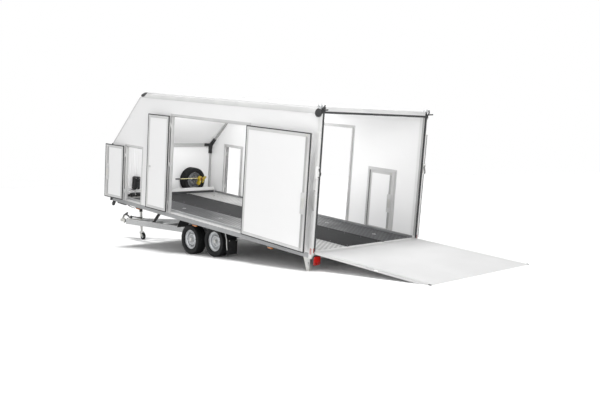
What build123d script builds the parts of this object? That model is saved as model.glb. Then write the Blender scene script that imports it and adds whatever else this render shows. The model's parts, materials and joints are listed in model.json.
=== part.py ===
from build123d import *
import os
from math import asin, atan2, cos, degrees, hypot, radians, sin, sqrt, tan

# Enclosed car trailer, standing ready to be loaded.
#
# The load box is tipped back on its chassis, so that its rear feet stand on the ground and its floor
# runs straight on down the lowered ramp. Both pairs of side wings and both front hatches are open.
#
# The model's x axis points forwards, y to the left and z up, from the ground under the middle of the
# trailer. Two frames share one origin in plan, the rear edge of the load box: the chassis frame lies
# level on the ground, and the box frame is tipped and lies on the floor's surface. Sizes are in
# millimetres and degrees.

# ---------------------------------------------------------------- load box
box_length = 5740
box_half_width = 1200
roof_height = 2060
knee_height = 1000
slant_angle = 45
panel_thickness = 28
floor_thickness = 28
centre_floor_width = 760
plank_count = 5
plank_sheet = 4
plank_rib = 3

# Aluminium profiles of the box
edge_sheet = 3
roof_edge_radius = 98
edge_depth = 26
edge_cover = 44
rail_top = -24
rail_bottom = -98
member_bottom = -71
rail_width = 60
rail_sheet = 4
upstand_inset = 52
upstand_width = 30
upstand_height = 34
post_depth = 60
post_width = 38
post_cover = 18
post_cover_top = 1700
rear_opening_height = 1983
cross_member_width = 50
cross_member_pitch = 560
inner_profile = 36

# Black corner caps
cap_sheet = 4
cap_radius = 84
cap_cover = 62

# ---------------------------------------------------------------- leaves in the side walls
leaf_thickness = 30
leaf_edge = 60
leaf_recess = 2
leaf_gap = 6
leaf_low = -14
hinge_standoff = 15
frame_web = 4
frame_flange = 30
frame_stop = 24
stop_thickness = 8
stop_gap = 12

wing_high = 1690
wing_rear_pin = 1562
wing_front_pin = 3698
rear_wing_width = 1495
wing_meeting_gap = 10
wing_swing = 177.6

hatch_high = 1020
hatch_width = 560
front_hatch_pin = 5205
rear_hatch_pin = 1110
hatch_swing = 173

knuckle_radius = 8
knuckle_length = 36
knuckle_gap = 0.3
hinge_pin_radius = 4
pin_clearance = 0.1
hinge_plate_width = 32
lock_width = 88
lock_length = 310
lock_inset = 36
lock_depth = 12

# ---------------------------------------------------------------- ramp
rear_edge_height = 278
ramp_reach = 2068
ramp_half_width = 1175
ramp_thickness = 30
ramp_lip = 4
ramp_edge = 40
ramp_near_edge = 70
ramp_far_edge = 24
ramp_skin_step = 1
ramp_gap = 14
ramp_pin_back = 28
ramp_pin_drop = 18
ramp_pin_radius = 6
ramp_knuckle_radius = 10
ramp_knuckle_length = 50
ramp_hinge_places = (-1000, -350, 350, 1000)

# ---------------------------------------------------------------- chassis, measured from the rear edge
coupling_reach = 7420
pivot_reach = 2980
pivot_drop = 120
rear_axle_reach = 2627
axle_spacing = 703
beam_height = 100
beam_width = 60
beam_sheet = 5
beam_top = 445
beam_spread = 720
beam_rear_reach = 2250
beam_bend_reach = 3920
beam_front_reach = 6900
beam_front_spread = 156

wheel_track = 1811
tyre_radius = 262.5
tyre_width = 195
rim_radius = 165
rim_width = 140
rim_sheet = 5
rim_flange = 11
wheel_bore_radius = 20.1
stub_radius = 20
bolt_count = 5
bolt_circle_radius = 56
vent_count = 10
arm_reach = 150
axle_tube = 80
arm_thickness = 34

jockey_reach = 6570
jockey_trail = 50
jockey_wheel_radius = 80
jockey_wheel_width = 50
jockey_tube_radius = 30
jockey_shaft_radius = 24

overrun_height = 395
ball_radius = 25
shaft_radius = 30

cylinder_foot_reach = 6100
cylinder_foot_height = 372
cylinder_head_reach = 5502
cylinder_head_drop = 126
barrel_radius = 32
barrel_length = 470
cylinder_rod_radius = 16
cylinder_eye_width = 44
cylinder_eye_radius = 30
foot_pin_radius = 12.5
head_pin_radius = 12
head_lug_inner = 32

# ---------------------------------------------------------------- equipment
kick_board_reach = 5445
kick_board_height = 110
spare_reach = 5590
spare_side = -635
puller_side = -720
mudguard_width = 230
mudguard_sheet = 4

# ---------------------------------------------------------------- derived places
box_tilt = degrees(asin((rear_edge_height - ramp_lip) / ramp_reach))
rear_edge_x = (ramp_reach * cos(radians(box_tilt)) - coupling_reach) / 2
chassis = Plane(origin=(rear_edge_x, 0, 0))
box = Plane(origin=(rear_edge_x, 0, rear_edge_height),
            x_dir=(cos(radians(box_tilt)), 0, sin(radians(box_tilt))),
            z_dir=(-sin(radians(box_tilt)), 0, cos(radians(box_tilt))))
upside_down = Plane.XZ

pin_side = box_half_width + hinge_standoff
front_wing_width = wing_front_pin - wing_rear_pin - rear_wing_width - leaf_gap - wing_meeting_gap
frame_outer = box_half_width + edge_sheet
frame_inner = box_half_width - leaf_thickness - stop_gap - stop_thickness
upstand_side = box_half_width - upstand_inset
floor_half_width = upstand_side - upstand_width
inner_length = box_length - panel_thickness
beam_centre_height = beam_top - beam_height / 2
front_axle_reach = rear_axle_reach + axle_spacing


def plan(frame, height):
    """Plane parallel to the frame's floor: local x forwards, local y to the left."""
    return frame.offset(height)


def side(frame, y):
    """Upright plane along the frame: local x forwards, local y up. Extrusions run to the right."""
    return Plane(origin=frame.from_local_coords((0, y, 0)), x_dir=frame.x_dir, z_dir=-frame.y_dir)


def section(frame, x):
    """Upright plane across the frame: local x to the left, local y up. Extrusions run forwards."""
    return Plane(origin=frame.from_local_coords((x, 0, 0)), x_dir=frame.y_dir, z_dir=frame.x_dir)


def outline(inset, rear=0, low=rail_top, top=None):
    """Side view of the box, its faces moved inwards by an inset; the top may be cut lower."""
    rise, run = sin(radians(slant_angle)), cos(radians(slant_angle))
    knee = knee_height + inset * (rise - 1) / run
    high = roof_height - inset if top is None else top
    crest = box_length - (inset + (high - knee_height) * run) / rise
    return [(rear, low), (box_length - inset, low), (box_length - inset, knee), (crest, high), (rear, high)]


def panel_outline(first, second):
    """Side view of one mitred outer panel between two corners of the box."""
    outer, inner = outline(0, post_depth), outline(panel_thickness, post_depth)
    return [outer[first], outer[second], inner[second], inner[first]]


def cut_to_section(part, grow):
    """Part of the box cut to its cross-section, whose upper corners are rounded."""
    half = box_half_width + grow
    with BuildPart() as prism:
        with BuildSketch(section(box, -500)):
            with BuildLine():
                FilletPolyline((-half, 0), (-half, roof_height + grow), (half, roof_height + grow), (half, 0),
                               radius=roof_edge_radius + grow)
                Line((half, 0), (half, 2 * rail_bottom))
                Line((half, 2 * rail_bottom), (-half, 2 * rail_bottom))
                Line((-half, 2 * rail_bottom), (-half, 0))
            make_face()
        extrude(amount=box_length + 1000)
        add(part, mode=Mode.INTERSECT)
    return prism.part


# ---------------------------------------------------------------- chassis beams
# A bent box-section beam on each side: parallel between the wheels, then drawn in to the coupling.
with BuildPart() as chassis_beams:
    with BuildLine(plan(chassis, beam_centre_height)):
        Polyline((beam_rear_reach, beam_spread), (beam_bend_reach, beam_spread),
                 (beam_front_reach, beam_front_spread))
    with BuildSketch(section(chassis, beam_rear_reach)):
        with Locations((beam_spread, beam_centre_height)):
            Rectangle(beam_width, beam_height)
            Rectangle(beam_width - 2 * beam_sheet, beam_height - 2 * beam_sheet, mode=Mode.SUBTRACT)
    sweep(transition=Transition.RIGHT)
    mirror(about=upside_down)


def beam_side(reach):
    """Distance from the middle to a beam's centre line, at a distance from the rear edge."""
    slope = (beam_spread - beam_front_spread) / (beam_front_reach - beam_bend_reach)
    return beam_spread - max(0, reach - beam_bend_reach) * slope


def cross_beam(reach, length, low, high):
    """Beam across the chassis that ends against the inner faces of the two chassis beams."""
    slope = (beam_spread - beam_front_spread) / (beam_front_reach - beam_bend_reach)
    inner = beam_width / 2 * (hypot(1, slope) if reach > beam_bend_reach else 1)
    rear_half = beam_side(reach) - inner
    front_half = beam_side(reach + length) - inner
    with BuildPart() as beam:
        with BuildSketch(plan(chassis, low)):
            with BuildLine():
                Polyline((reach, rear_half), (reach + length, front_half), (reach + length, -front_half),
                         (reach, -rear_half), close=True)
            make_face()
        extrude(amount=high - low)
    return beam.part


# ---------------------------------------------------------------- chassis cross-members
pivot = box.from_local_coords((pivot_reach, 0, -pivot_drop)) - chassis.origin
pivot_pin_radius = 15
pivot_lug_radius = 32
pivot_lug_thickness = 30
pivot_cheek_gap = 5
pivot_cheek = 8
cross_low = beam_centre_height - 30
cross_high = beam_centre_height + 30
foot_beam_reach = cylinder_foot_reach + 40
foot_lug_inner = cylinder_eye_width / 2 + 2
foot_lug_sheet = 8


def lug(frame, y, thickness, base_low, base_high, base_height, pin_x, pin_z, radius):
    """Flat lug that widens from a rounded end about a pin to its base on a level line."""
    with BuildPart() as plate:
        with BuildSketch(side(frame, y + thickness / 2)):
            with BuildLine():
                Polyline((base_low, base_height), (pin_x - radius, pin_z), (pin_x + radius, pin_z),
                         (base_high, base_height), close=True)
            make_face()
            with Locations((pin_x, pin_z)):
                Circle(radius)
        extrude(amount=thickness)
    return plate.part


def pin(frame, x, z, radius, low_y, high_y):
    """Round pin across the trailer."""
    with BuildPart() as shaft:
        with BuildSketch(side(frame, high_y)):
            with Locations((x, z)):
                Circle(radius)
        extrude(amount=high_y - low_y)
    return shaft.part


with BuildPart() as chassis_cross_members:
    add(cross_beam(beam_rear_reach + 20, 70, cross_low, cross_high))
    add(cross_beam(beam_bend_reach - 80, 60, cross_low, cross_high))
    add(cross_beam(5000, 60, cross_low, cross_high))
    # Cylinder foot: two lugs and a pin on a beam between the converging chassis beams
    add(cross_beam(foot_beam_reach, 60, cylinder_foot_height - 30, cylinder_foot_height + 30))
    for hand in (-1, 1):
        with BuildSketch(side(chassis, hand * (foot_lug_inner + foot_lug_sheet / 2) + foot_lug_sheet / 2)):
            with Locations((cylinder_foot_reach, cylinder_foot_height)):
                Circle(22)
            with Locations(((cylinder_foot_reach + foot_beam_reach) / 2, cylinder_foot_height)):
                Rectangle(foot_beam_reach - cylinder_foot_reach, 44)
        extrude(amount=foot_lug_sheet)
    add(pin(chassis, cylinder_foot_reach, cylinder_foot_height, foot_pin_radius,
            -foot_lug_inner - foot_lug_sheet, foot_lug_inner + foot_lug_sheet))
    # Clamp plate of the jockey wheel
    jockey_plate_low = 372
    jockey_plate_high = 432
    add(cross_beam(jockey_reach - 45, 90, jockey_plate_low, jockey_plate_high))
    with BuildSketch(plan(chassis, jockey_plate_low)):
        with Locations((jockey_reach, 0)):
            Circle(jockey_tube_radius)
    extrude(amount=jockey_plate_high - jockey_plate_low, mode=Mode.SUBTRACT)

    # Brackets and pins that the box tilts on
    cheek_offset = pivot_lug_thickness / 2 + pivot_cheek_gap
    for middle in (-beam_spread, beam_spread):
        for hand in (-1, 1):
            add(lug(chassis, middle + hand * (cheek_offset + pivot_cheek / 2), pivot_cheek,
                    pivot.X - 70, pivot.X + 70, beam_top, pivot.X, pivot.Z, pivot_lug_radius))
        add(pin(chassis, pivot.X, pivot.Z, pivot_pin_radius,
                middle - cheek_offset - pivot_cheek, middle + cheek_offset + pivot_cheek))

# ---------------------------------------------------------------- axles
# Rubber-sprung axle: a square tube under the beams, a trailing arm and a stub at each end.
wheel_side = wheel_track / 2
arm_outer = wheel_side - 98
axle_tube_height = beam_top - beam_height - axle_tube / 2


def axle(reach):
    """Axle with its brake plates and stubs, for wheels whose centres stand at a distance ahead."""
    tube_reach = reach + arm_reach
    with BuildPart() as piece:
        with BuildSketch(side(chassis, arm_outer - arm_thickness)):
            with Locations((tube_reach, axle_tube_height)):
                RectangleRounded(axle_tube, axle_tube, 8)
        extrude(amount=2 * (arm_outer - arm_thickness))
        with BuildSketch(side(chassis, arm_outer)):
            with BuildLine():
                Polyline((tube_reach - 6, axle_tube_height + 40), (reach - 5, tyre_radius + 34),
                         (reach - 5, tyre_radius - 34), (tube_reach + 6, axle_tube_height - 40), close=True)
            make_face()
            with Locations((tube_reach, axle_tube_height)):
                Circle(41)
            with Locations((reach, tyre_radius)):
                Circle(35)
        extrude(amount=arm_thickness)
        with BuildSketch(side(chassis, arm_outer + 10)):
            with Locations((reach, tyre_radius)):
                Circle(100)
        extrude(amount=10)
        with BuildSketch(side(chassis, wheel_side + 42)):
            with Locations((reach, tyre_radius)):
                Circle(stub_radius)
        extrude(amount=wheel_side + 42 - arm_outer)
        mirror(about=upside_down)
    return piece.part


front_axle = axle(front_axle_reach)
rear_axle = axle(rear_axle_reach)


# ---------------------------------------------------------------- wheels
def wheel_plane(frame, x, y, z, facing=1):
    """Plane whose local z is a wheel's axle and points out of the disc's outer face."""
    origin = frame.from_local_coords((x, y, z))
    return Plane(origin=origin, x_dir=frame.x_dir, z_dir=frame.y_dir * facing)


def spin_axis(plane):
    """Axle of a wheel plane."""
    return Axis(plane.origin, plane.z_dir)


def tyre(place):
    """Tyre: flat tread, bevelled shoulders and bulging walls down to the rim's bead seats."""
    half = tyre_width / 2
    bead = rim_width / 2 - rim_sheet
    across = Plane(origin=place.origin, x_dir=place.x_dir, z_dir=-place.y_dir)
    with BuildPart() as piece:
        with BuildSketch(across):
            with BuildLine():
                Polyline((tyre_radius, -half + 26), (tyre_radius, half - 26), (tyre_radius - 8, half - 10),
                         (tyre_radius - 26, half - 2), (tyre_radius - 52, half), (tyre_radius - 74, half - 10),
                         (rim_radius + rim_flange, rim_width / 2), (rim_radius + rim_flange, bead),
                         (rim_radius, bead), (rim_radius, -bead), (rim_radius + rim_flange, -bead),
                         (rim_radius + rim_flange, -rim_width / 2), (tyre_radius - 74, -half + 10),
                         (tyre_radius - 52, -half), (tyre_radius - 26, -half + 2), (tyre_radius - 8, -half + 10),
                         close=True)
            make_face()
        revolve(axis=spin_axis(place))
    return piece.part


def rim(place):
    """Pressed steel rim: flanged well, dished disc with vent holes, and the hub drum behind it."""
    half = rim_width / 2
    sheet = rim_sheet
    lip = rim_radius + rim_flange
    disc = 34
    across = Plane(origin=place.origin, x_dir=place.x_dir, z_dir=-place.y_dir)
    with BuildPart() as piece:
        with BuildSketch(across):
            with BuildLine():
                Polyline((lip, -half), (lip, -half + sheet), (rim_radius, -half + sheet),
                         (rim_radius, -12), (rim_radius - 20, 4), (rim_radius - 20, half - 28),
                         (rim_radius, half - 16), (rim_radius, half - sheet), (lip, half - sheet),
                         (lip, half), (rim_radius - sheet, half), (rim_radius - sheet, half - 14),
                         (rim_radius - 20 - sheet, half - 26), (rim_radius - 20 - sheet, disc - 10),
                         (118, disc - 4), (96, disc + 12), (76, disc + 12), (66, disc), (36, disc), (36, disc + 22),
                         (wheel_bore_radius, disc + 22), (wheel_bore_radius, -40), (108, -40), (108, -34),
                         (60, -22), (60, disc - 6), (98, disc + 5), (114, disc - 10),
                         (rim_radius - 20 - sheet, disc - 17), (rim_radius - 20 - sheet, 2),
                         (rim_radius - sheet, -14), (rim_radius - sheet, -half), close=True)
            make_face()
        revolve(axis=spin_axis(place))
        with BuildSketch(place.offset(disc - 30)):
            with PolarLocations(118, vent_count):
                Circle(8)
        extrude(amount=50, mode=Mode.SUBTRACT)
    return piece.part


wheel_places = {}
for row, reach in (("front", front_axle_reach), ("rear", rear_axle_reach)):
    wheel_places[f"{row}_left"] = wheel_plane(chassis, reach, wheel_side, tyre_radius)
    wheel_places[f"{row}_right"] = wheel_plane(chassis, reach, -wheel_side, tyre_radius, -1)

# ---------------------------------------------------------------- overrun brake and coupling
overrun_rear_reach = 6690
overrun_front_reach = 6960
with BuildPart() as overrun_device:
    # Flange over both beam tips
    with BuildSketch(plan(chassis, beam_top)):
        with Locations(((overrun_rear_reach + 60 + overrun_rear_reach + 200) / 2, 0)):
            RectangleRounded(180, 2 * beam_side(overrun_rear_reach) + 10, 14)
    extrude(amount=8)
    # Cast body under the flange
    with BuildSketch(section(chassis, overrun_rear_reach)):
        with Locations((0, overrun_height + 3)):
            RectangleRounded(104, 94, 20)
    extrude(amount=overrun_front_reach - overrun_rear_reach)
    # Collar of the sliding shaft
    with BuildSketch(section(chassis, overrun_front_reach)):
        with Locations((0, overrun_height)):
            Circle(44)
    extrude(amount=24)
    with BuildSketch(section(chassis, overrun_rear_reach + 100)):
        with Locations((0, overrun_height)):
            Circle(shaft_radius)
    extrude(amount=7150 - overrun_rear_reach - 100)

lever_pivot_reach = 7000
with BuildPart() as handbrake_lever:
    # Lever lying back along the drawbar, with a bracket that stands on the overrun's flange
    with BuildLine(side(chassis, 62)):
        lever_path = FilletPolyline((6905, 466), (lever_pivot_reach - 40, 500), (6600, 520), (6440, 535), radius=14)
    with BuildSketch(Plane(origin=lever_path @ 0, z_dir=lever_path % 0)):
        Circle(8)
    sweep()
    with BuildSketch(side(chassis, 62 + 8)):
        with Locations((6880, 472)):
            Rectangle(60, 38)
    extrude(amount=16)

head_rear_reach = 7150
head_height = 404
ball_reach = coupling_reach - 42
with BuildPart() as coupling_head:
    # Pressed head: a sleeve over the shaft that narrows, then a rounded dome over the ball
    with BuildSketch(section(chassis, head_rear_reach)):
        with Locations((0, overrun_height)):
            RectangleRounded(84, 76, 30)
    with BuildSketch(section(chassis, ball_reach - 60)):
        with Locations((0, head_height)):
            RectangleRounded(66, 62, 24)
    loft()
    with BuildSketch(plan(chassis, head_height - 31)):
        with Locations((ball_reach, 0)):
            Circle(coupling_reach - ball_reach)
        with Locations((ball_reach - 35, 0)):
            Rectangle(70, 66)
    extrude(amount=62)
    with Locations(chassis.location * Location((ball_reach, 0, head_height - 12))):
        Sphere(ball_radius + 0.3, mode=Mode.SUBTRACT)
    with BuildSketch(plan(chassis, head_height - 31)):
        with Locations((ball_reach, 0)):
            Circle(ball_radius + 0.3)
    extrude(amount=19, mode=Mode.SUBTRACT)
    # Release handle
    with BuildLine(side(chassis, 0)):
        handle_path = FilletPolyline((7330, 428), (7300, 470), (7215, 540), (7133, 567), radius=24)
    with BuildSketch(Plane(origin=handle_path @ 0, z_dir=handle_path % 0)):
        RectangleRounded(26, 14, 5)
    sweep()

# ---------------------------------------------------------------- jockey wheel
jockey_wheel_reach = jockey_reach - jockey_trail
jockey_tube_low = 300
jockey_tube_high = 610
with BuildPart() as jockey_tube:
    with BuildSketch(plan(chassis, jockey_tube_low)):
        with Locations((jockey_reach, 0)):
            Circle(jockey_tube_radius)
            Circle(jockey_shaft_radius + 0.5, mode=Mode.SUBTRACT)
    extrude(amount=jockey_tube_high - jockey_tube_low)
    with BuildSketch(plan(chassis, jockey_tube_high)):
        with Locations((jockey_reach, 0)):
            Circle(jockey_tube_radius + 4)
    extrude(amount=64)
    with BuildLine(side(chassis, 0)):
        crank_path = FilletPolyline((jockey_reach, 664), (jockey_reach, 700), (jockey_reach + 120, 724),
                                    (jockey_reach + 120, 800), radius=16)
    with BuildSketch(Plane(origin=crank_path @ 0, z_dir=crank_path % 0)):
        Circle(8)
    sweep()

fork_crown = 2 * jockey_wheel_radius + 8
fork_half_gap = jockey_wheel_width / 2 + 7
with BuildPart() as jockey_fork:
    with BuildSketch(plan(chassis, fork_crown)):
        with Locations((jockey_reach, 0)):
            Circle(jockey_shaft_radius)
    extrude(amount=jockey_tube_high - 30 - fork_crown)
    with BuildSketch(side(chassis, fork_half_gap + 6)):
        with BuildLine():
            Polyline((jockey_reach - 30, fork_crown + 10), (jockey_reach + 30, fork_crown + 10),
                     (jockey_reach + 30, fork_crown - 30), (jockey_wheel_reach + 20, jockey_wheel_radius - 10),
                     (jockey_wheel_reach - 20, jockey_wheel_radius - 10), (jockey_reach - 60, fork_crown - 50),
                     close=True)
        make_face()
    extrude(amount=2 * (fork_half_gap + 6))
    with BuildSketch(side(chassis, fork_half_gap)):
        with Locations((jockey_reach, jockey_wheel_radius)):
            Rectangle(400, 2 * (fork_crown - jockey_wheel_radius))
    extrude(amount=2 * fork_half_gap, mode=Mode.SUBTRACT)
    add(pin(chassis, jockey_wheel_reach, jockey_wheel_radius, 8, -fork_half_gap - 6, fork_half_gap + 6))

with BuildPart() as jockey_wheel:
    jockey_place = wheel_plane(chassis, jockey_wheel_reach, 0, jockey_wheel_radius)
    rim_low = jockey_wheel_radius - 34
    with BuildSketch(Plane(origin=jockey_place.origin, x_dir=jockey_place.x_dir, z_dir=-jockey_place.y_dir)):
        with BuildLine():
            Polyline((8.1, -22), (22, -22), (22, -8), (rim_low, -8), (rim_low + 6, -22), (rim_low + 22, -25),
                     (rim_low + 30, -20), (jockey_wheel_radius, 0), (rim_low + 30, 20), (rim_low + 22, 25),
                     (rim_low + 6, 22), (rim_low, 8), (22, 8), (22, 22), (8.1, 22), close=True)
        make_face()
    revolve(axis=spin_axis(jockey_place))

# ---------------------------------------------------------------- tilt cylinder
# The foot turns on the chassis. The linkage is opened at the head: the rod's eye carries its pin and
# hangs free between two lugs on the box.
cylinder_foot = chassis.from_local_coords((cylinder_foot_reach, 0, cylinder_foot_height))
cylinder_head = box.from_local_coords((cylinder_head_reach, 0, -cylinder_head_drop))
cylinder_line = cylinder_head - cylinder_foot
stretched_length = cylinder_line.length
rod_overlap = 30
cylinder = Plane(origin=cylinder_foot, x_dir=(0, 1, 0), z_dir=cylinder_line.normalized())


with BuildPart() as cylinder_barrel:
    with BuildSketch(cylinder.offset(22)):
        Circle(barrel_radius)
    extrude(amount=barrel_length - 22)
    with BuildSketch(cylinder.offset(barrel_length - 30)):
        Circle(barrel_radius + 5)
    extrude(amount=30)
    with BuildSketch(cylinder.offset(60)):
        Circle(cylinder_rod_radius + 0.1)
    extrude(amount=barrel_length - 60, mode=Mode.SUBTRACT)
    with BuildSketch(Plane(origin=cylinder_foot + Vector(0, cylinder_eye_width / 2, 0),
                           x_dir=cylinder.z_dir, z_dir=(0, -1, 0))):
        Circle(cylinder_eye_radius - 4)
    extrude(amount=cylinder_eye_width)
    with BuildSketch(Plane(origin=cylinder_foot + Vector(0, barrel_radius, 0),
                           x_dir=cylinder.z_dir, z_dir=(0, -1, 0))):
        Circle(foot_pin_radius + 0.1)
    extrude(amount=2 * barrel_radius, mode=Mode.SUBTRACT)

with BuildPart() as cylinder_rod:
    with BuildSketch(cylinder.offset(barrel_length - rod_overlap)):
        Circle(cylinder_rod_radius)
    extrude(amount=stretched_length - barrel_length + rod_overlap)
    with BuildSketch(Plane(origin=cylinder_head + Vector(0, cylinder_eye_width / 2, 0),
                           x_dir=cylinder.z_dir, z_dir=(0, -1, 0))):
        Circle(cylinder_eye_radius - 4)
    extrude(amount=cylinder_eye_width)
    with BuildSketch(Plane(origin=cylinder_head + Vector(0, cylinder_eye_width / 2 + 4, 0),
                           x_dir=cylinder.z_dir, z_dir=(0, -1, 0))):
        Circle(head_pin_radius)
    extrude(amount=cylinder_eye_width + 8)

# ---------------------------------------------------------------- box underframe
with BuildPart() as side_rails:
    # Channel open to the inside, with a hollow upstand that the floor and the leaves' frames stand against
    with BuildSketch(section(box, post_depth)):
        with BuildLine():
            Polyline((box_half_width, rail_bottom), (box_half_width, rail_top),
                     (upstand_side, rail_top), (upstand_side, upstand_height),
                     (floor_half_width, upstand_height), (floor_half_width, rail_top - rail_sheet),
                     (box_half_width - rail_sheet, rail_top - rail_sheet),
                     (box_half_width - rail_sheet, rail_bottom + rail_sheet),
                     (box_half_width - rail_width, rail_bottom + rail_sheet),
                     (box_half_width - rail_width, rail_bottom), close=True)
        make_face()
        with Locations((floor_half_width + upstand_width / 2, (rail_top + upstand_height) / 2)):
            Rectangle(upstand_width - 2 * rail_sheet, upstand_height - rail_top - 2 * rail_sheet,
                      mode=Mode.SUBTRACT)
        # Two shallow grooves in the outer face
        with Locations((box_half_width, -14), (box_half_width, -48)):
            Rectangle(2, 5, mode=Mode.SUBTRACT)
    extrude(amount=box_length - post_depth)
    with BuildSketch(section(box, inner_length)):
        with Locations((box_half_width - rail_width, rail_top)):
            Rectangle(4 * upstand_width, upstand_height, align=(Align.MAX, Align.CENTER))
        with Locations((upstand_side, (rail_top + upstand_height) / 2)):
            Rectangle(2 * upstand_width, upstand_height - rail_top, align=(Align.CENTER, Align.CENTER))
    extrude(amount=panel_thickness, mode=Mode.SUBTRACT)
    mirror(about=upside_down)

cross_half = box_half_width - rail_sheet
cross_top = -floor_thickness
cross_count = int((inner_length - post_depth) / cross_member_pitch)
cross_step = (inner_length - post_depth - cross_member_width) / cross_count
cross_places = [post_depth + place * cross_step for place in range(cross_count + 1)]
stringer_side = 480
with BuildPart() as underframe:
    with BuildSketch(plan(box, member_bottom)):
        for place in cross_places:
            with Locations((place + cross_member_width / 2, 0)):
                Rectangle(cross_member_width, 2 * cross_half)
        with Locations(((post_depth + inner_length) / 2, -stringer_side),
                       ((post_depth + inner_length) / 2, stringer_side)):
            Rectangle(inner_length - post_depth, cross_member_width)
    extrude(amount=cross_top - member_bottom)
    # Front sill, which closes the floor's front edge and carries the front wall
    with BuildSketch(plan(box, rail_bottom)):
        with Locations((inner_length + panel_thickness / 2, 0)):
            Rectangle(panel_thickness, 2 * (box_half_width - rail_width))
    extrude(amount=rail_top - rail_bottom)
    # Bearers and lugs on the tilt pins
    with BuildSketch(plan(box, member_bottom)):
        with Locations((pivot_reach, -beam_spread), (pivot_reach, beam_spread)):
            Rectangle(2 * cross_step, pivot_lug_thickness)
    extrude(amount=cross_top - member_bottom)
    for middle in (-beam_spread, beam_spread):
        add(lug(box, middle, pivot_lug_thickness, pivot_reach - 60, pivot_reach + 60, member_bottom,
                pivot_reach, -pivot_drop, pivot_lug_radius))
        add(pin(box, pivot_reach, -pivot_drop, pivot_pin_radius + pin_clearance,
                middle - pivot_lug_thickness, middle + pivot_lug_thickness), mode=Mode.SUBTRACT)
    # Lugs and pin for the tilt cylinder's head, on a plate between the stringers
    with BuildSketch(plan(box, member_bottom)):
        with Locations((cylinder_head_reach, 0)):
            Rectangle(140, 2 * stringer_side)
    extrude(amount=cross_top - member_bottom)
    for hand in (-1, 1):
        add(lug(box, hand * (head_lug_inner + 4), 8, cylinder_head_reach - 50, cylinder_head_reach + 50,
                member_bottom, cylinder_head_reach, -cylinder_head_drop, 24))
        add(pin(box, cylinder_head_reach, -cylinder_head_drop, head_pin_radius + 6,
                hand * (head_lug_inner + 14) - 6, hand * (head_lug_inner + 14) + 6))

# ---------------------------------------------------------------- floor
with BuildPart() as centre_floor:
    with BuildSketch(plan(box, -floor_thickness)):
        with Locations(((post_depth + inner_length) / 2, 0)):
            Rectangle(inner_length - post_depth, centre_floor_width)
    extrude(amount=floor_thickness)

with BuildPart() as floor_tracks:
    # Hollow planks side by side, each with a tongue-thin gap line and an open underside
    track_width = floor_half_width - centre_floor_width / 2
    plank_width = track_width / plank_count
    with BuildSketch(section(box, post_depth)):
        with Locations((centre_floor_width / 2 + track_width / 2, -plank_sheet / 2)):
            Rectangle(track_width, plank_sheet)
        for place in range(2 * plank_count + 1):
            rib_side = centre_floor_width / 2 + plank_rib / 2 + place * (track_width - plank_rib) / (2 * plank_count)
            with Locations((rib_side, -floor_thickness / 2)):
                Rectangle(plank_rib, floor_thickness)
        for place in range(1, plank_count):
            with Locations((centre_floor_width / 2 + place * plank_width, 0)):
                Rectangle(3, 3, mode=Mode.SUBTRACT)
    extrude(amount=inner_length - post_depth)
    mirror(about=upside_down)

# ---------------------------------------------------------------- walls and roof
half_gap = leaf_gap / 2
wing_hole = (wing_rear_pin - half_gap - frame_web, wing_front_pin + half_gap + frame_web,
             wing_high + leaf_gap + frame_web)
front_hatch_hole = (front_hatch_pin - half_gap - hatch_width - leaf_gap - frame_web,
                    front_hatch_pin + half_gap + frame_web, hatch_high + leaf_gap + frame_web)
rear_hatch_hole = (rear_hatch_pin - half_gap - hatch_width - leaf_gap - frame_web,
                   rear_hatch_pin + half_gap + frame_web, hatch_high + leaf_gap + frame_web)
holes = (rear_hatch_hole, wing_hole, front_hatch_hole)


def hole_rectangle(hole, grow=0, low=rail_top, mode=Mode.ADD):
    """Rectangle of a hole in the wall, grown on both sides and at the top."""
    low_x, high_x, high_z = hole
    high = high_z + grow
    with Locations(((low_x + high_x) / 2, (low + high) / 2)):
        Rectangle(high_x - low_x + 2 * grow, high - low, mode=mode)


wall_top = roof_height - roof_edge_radius
with BuildPart() as left_wall:
    with BuildSketch(side(box, box_half_width)):
        with BuildLine():
            Polyline(*outline(panel_thickness, post_depth, top=wall_top), close=True)
        make_face()
        for hole in holes:
            hole_rectangle(hole, mode=Mode.SUBTRACT)
    extrude(amount=panel_thickness)

with BuildPart() as right_wall:
    mirror(left_wall.part, about=upside_down)


def outer_panel(first, second):
    """Front, slanted or roof panel: mitred at its ends and as wide as the box."""
    with BuildPart() as panel:
        with BuildSketch(side(box, box_half_width)):
            with BuildLine():
                Polyline(*panel_outline(first, second), close=True)
            make_face()
        extrude(amount=2 * box_half_width)
    return panel.part


front_wall = outer_panel(1, 2)
slant_panel = cut_to_section(outer_panel(2, 3), 0)
with BuildPart() as roof_panel:
    with BuildSketch(side(box, box_half_width - roof_edge_radius)):
        with BuildLine():
            Polyline(*panel_outline(3, 4), close=True)
        make_face()
    extrude(amount=2 * (box_half_width - roof_edge_radius))

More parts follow.
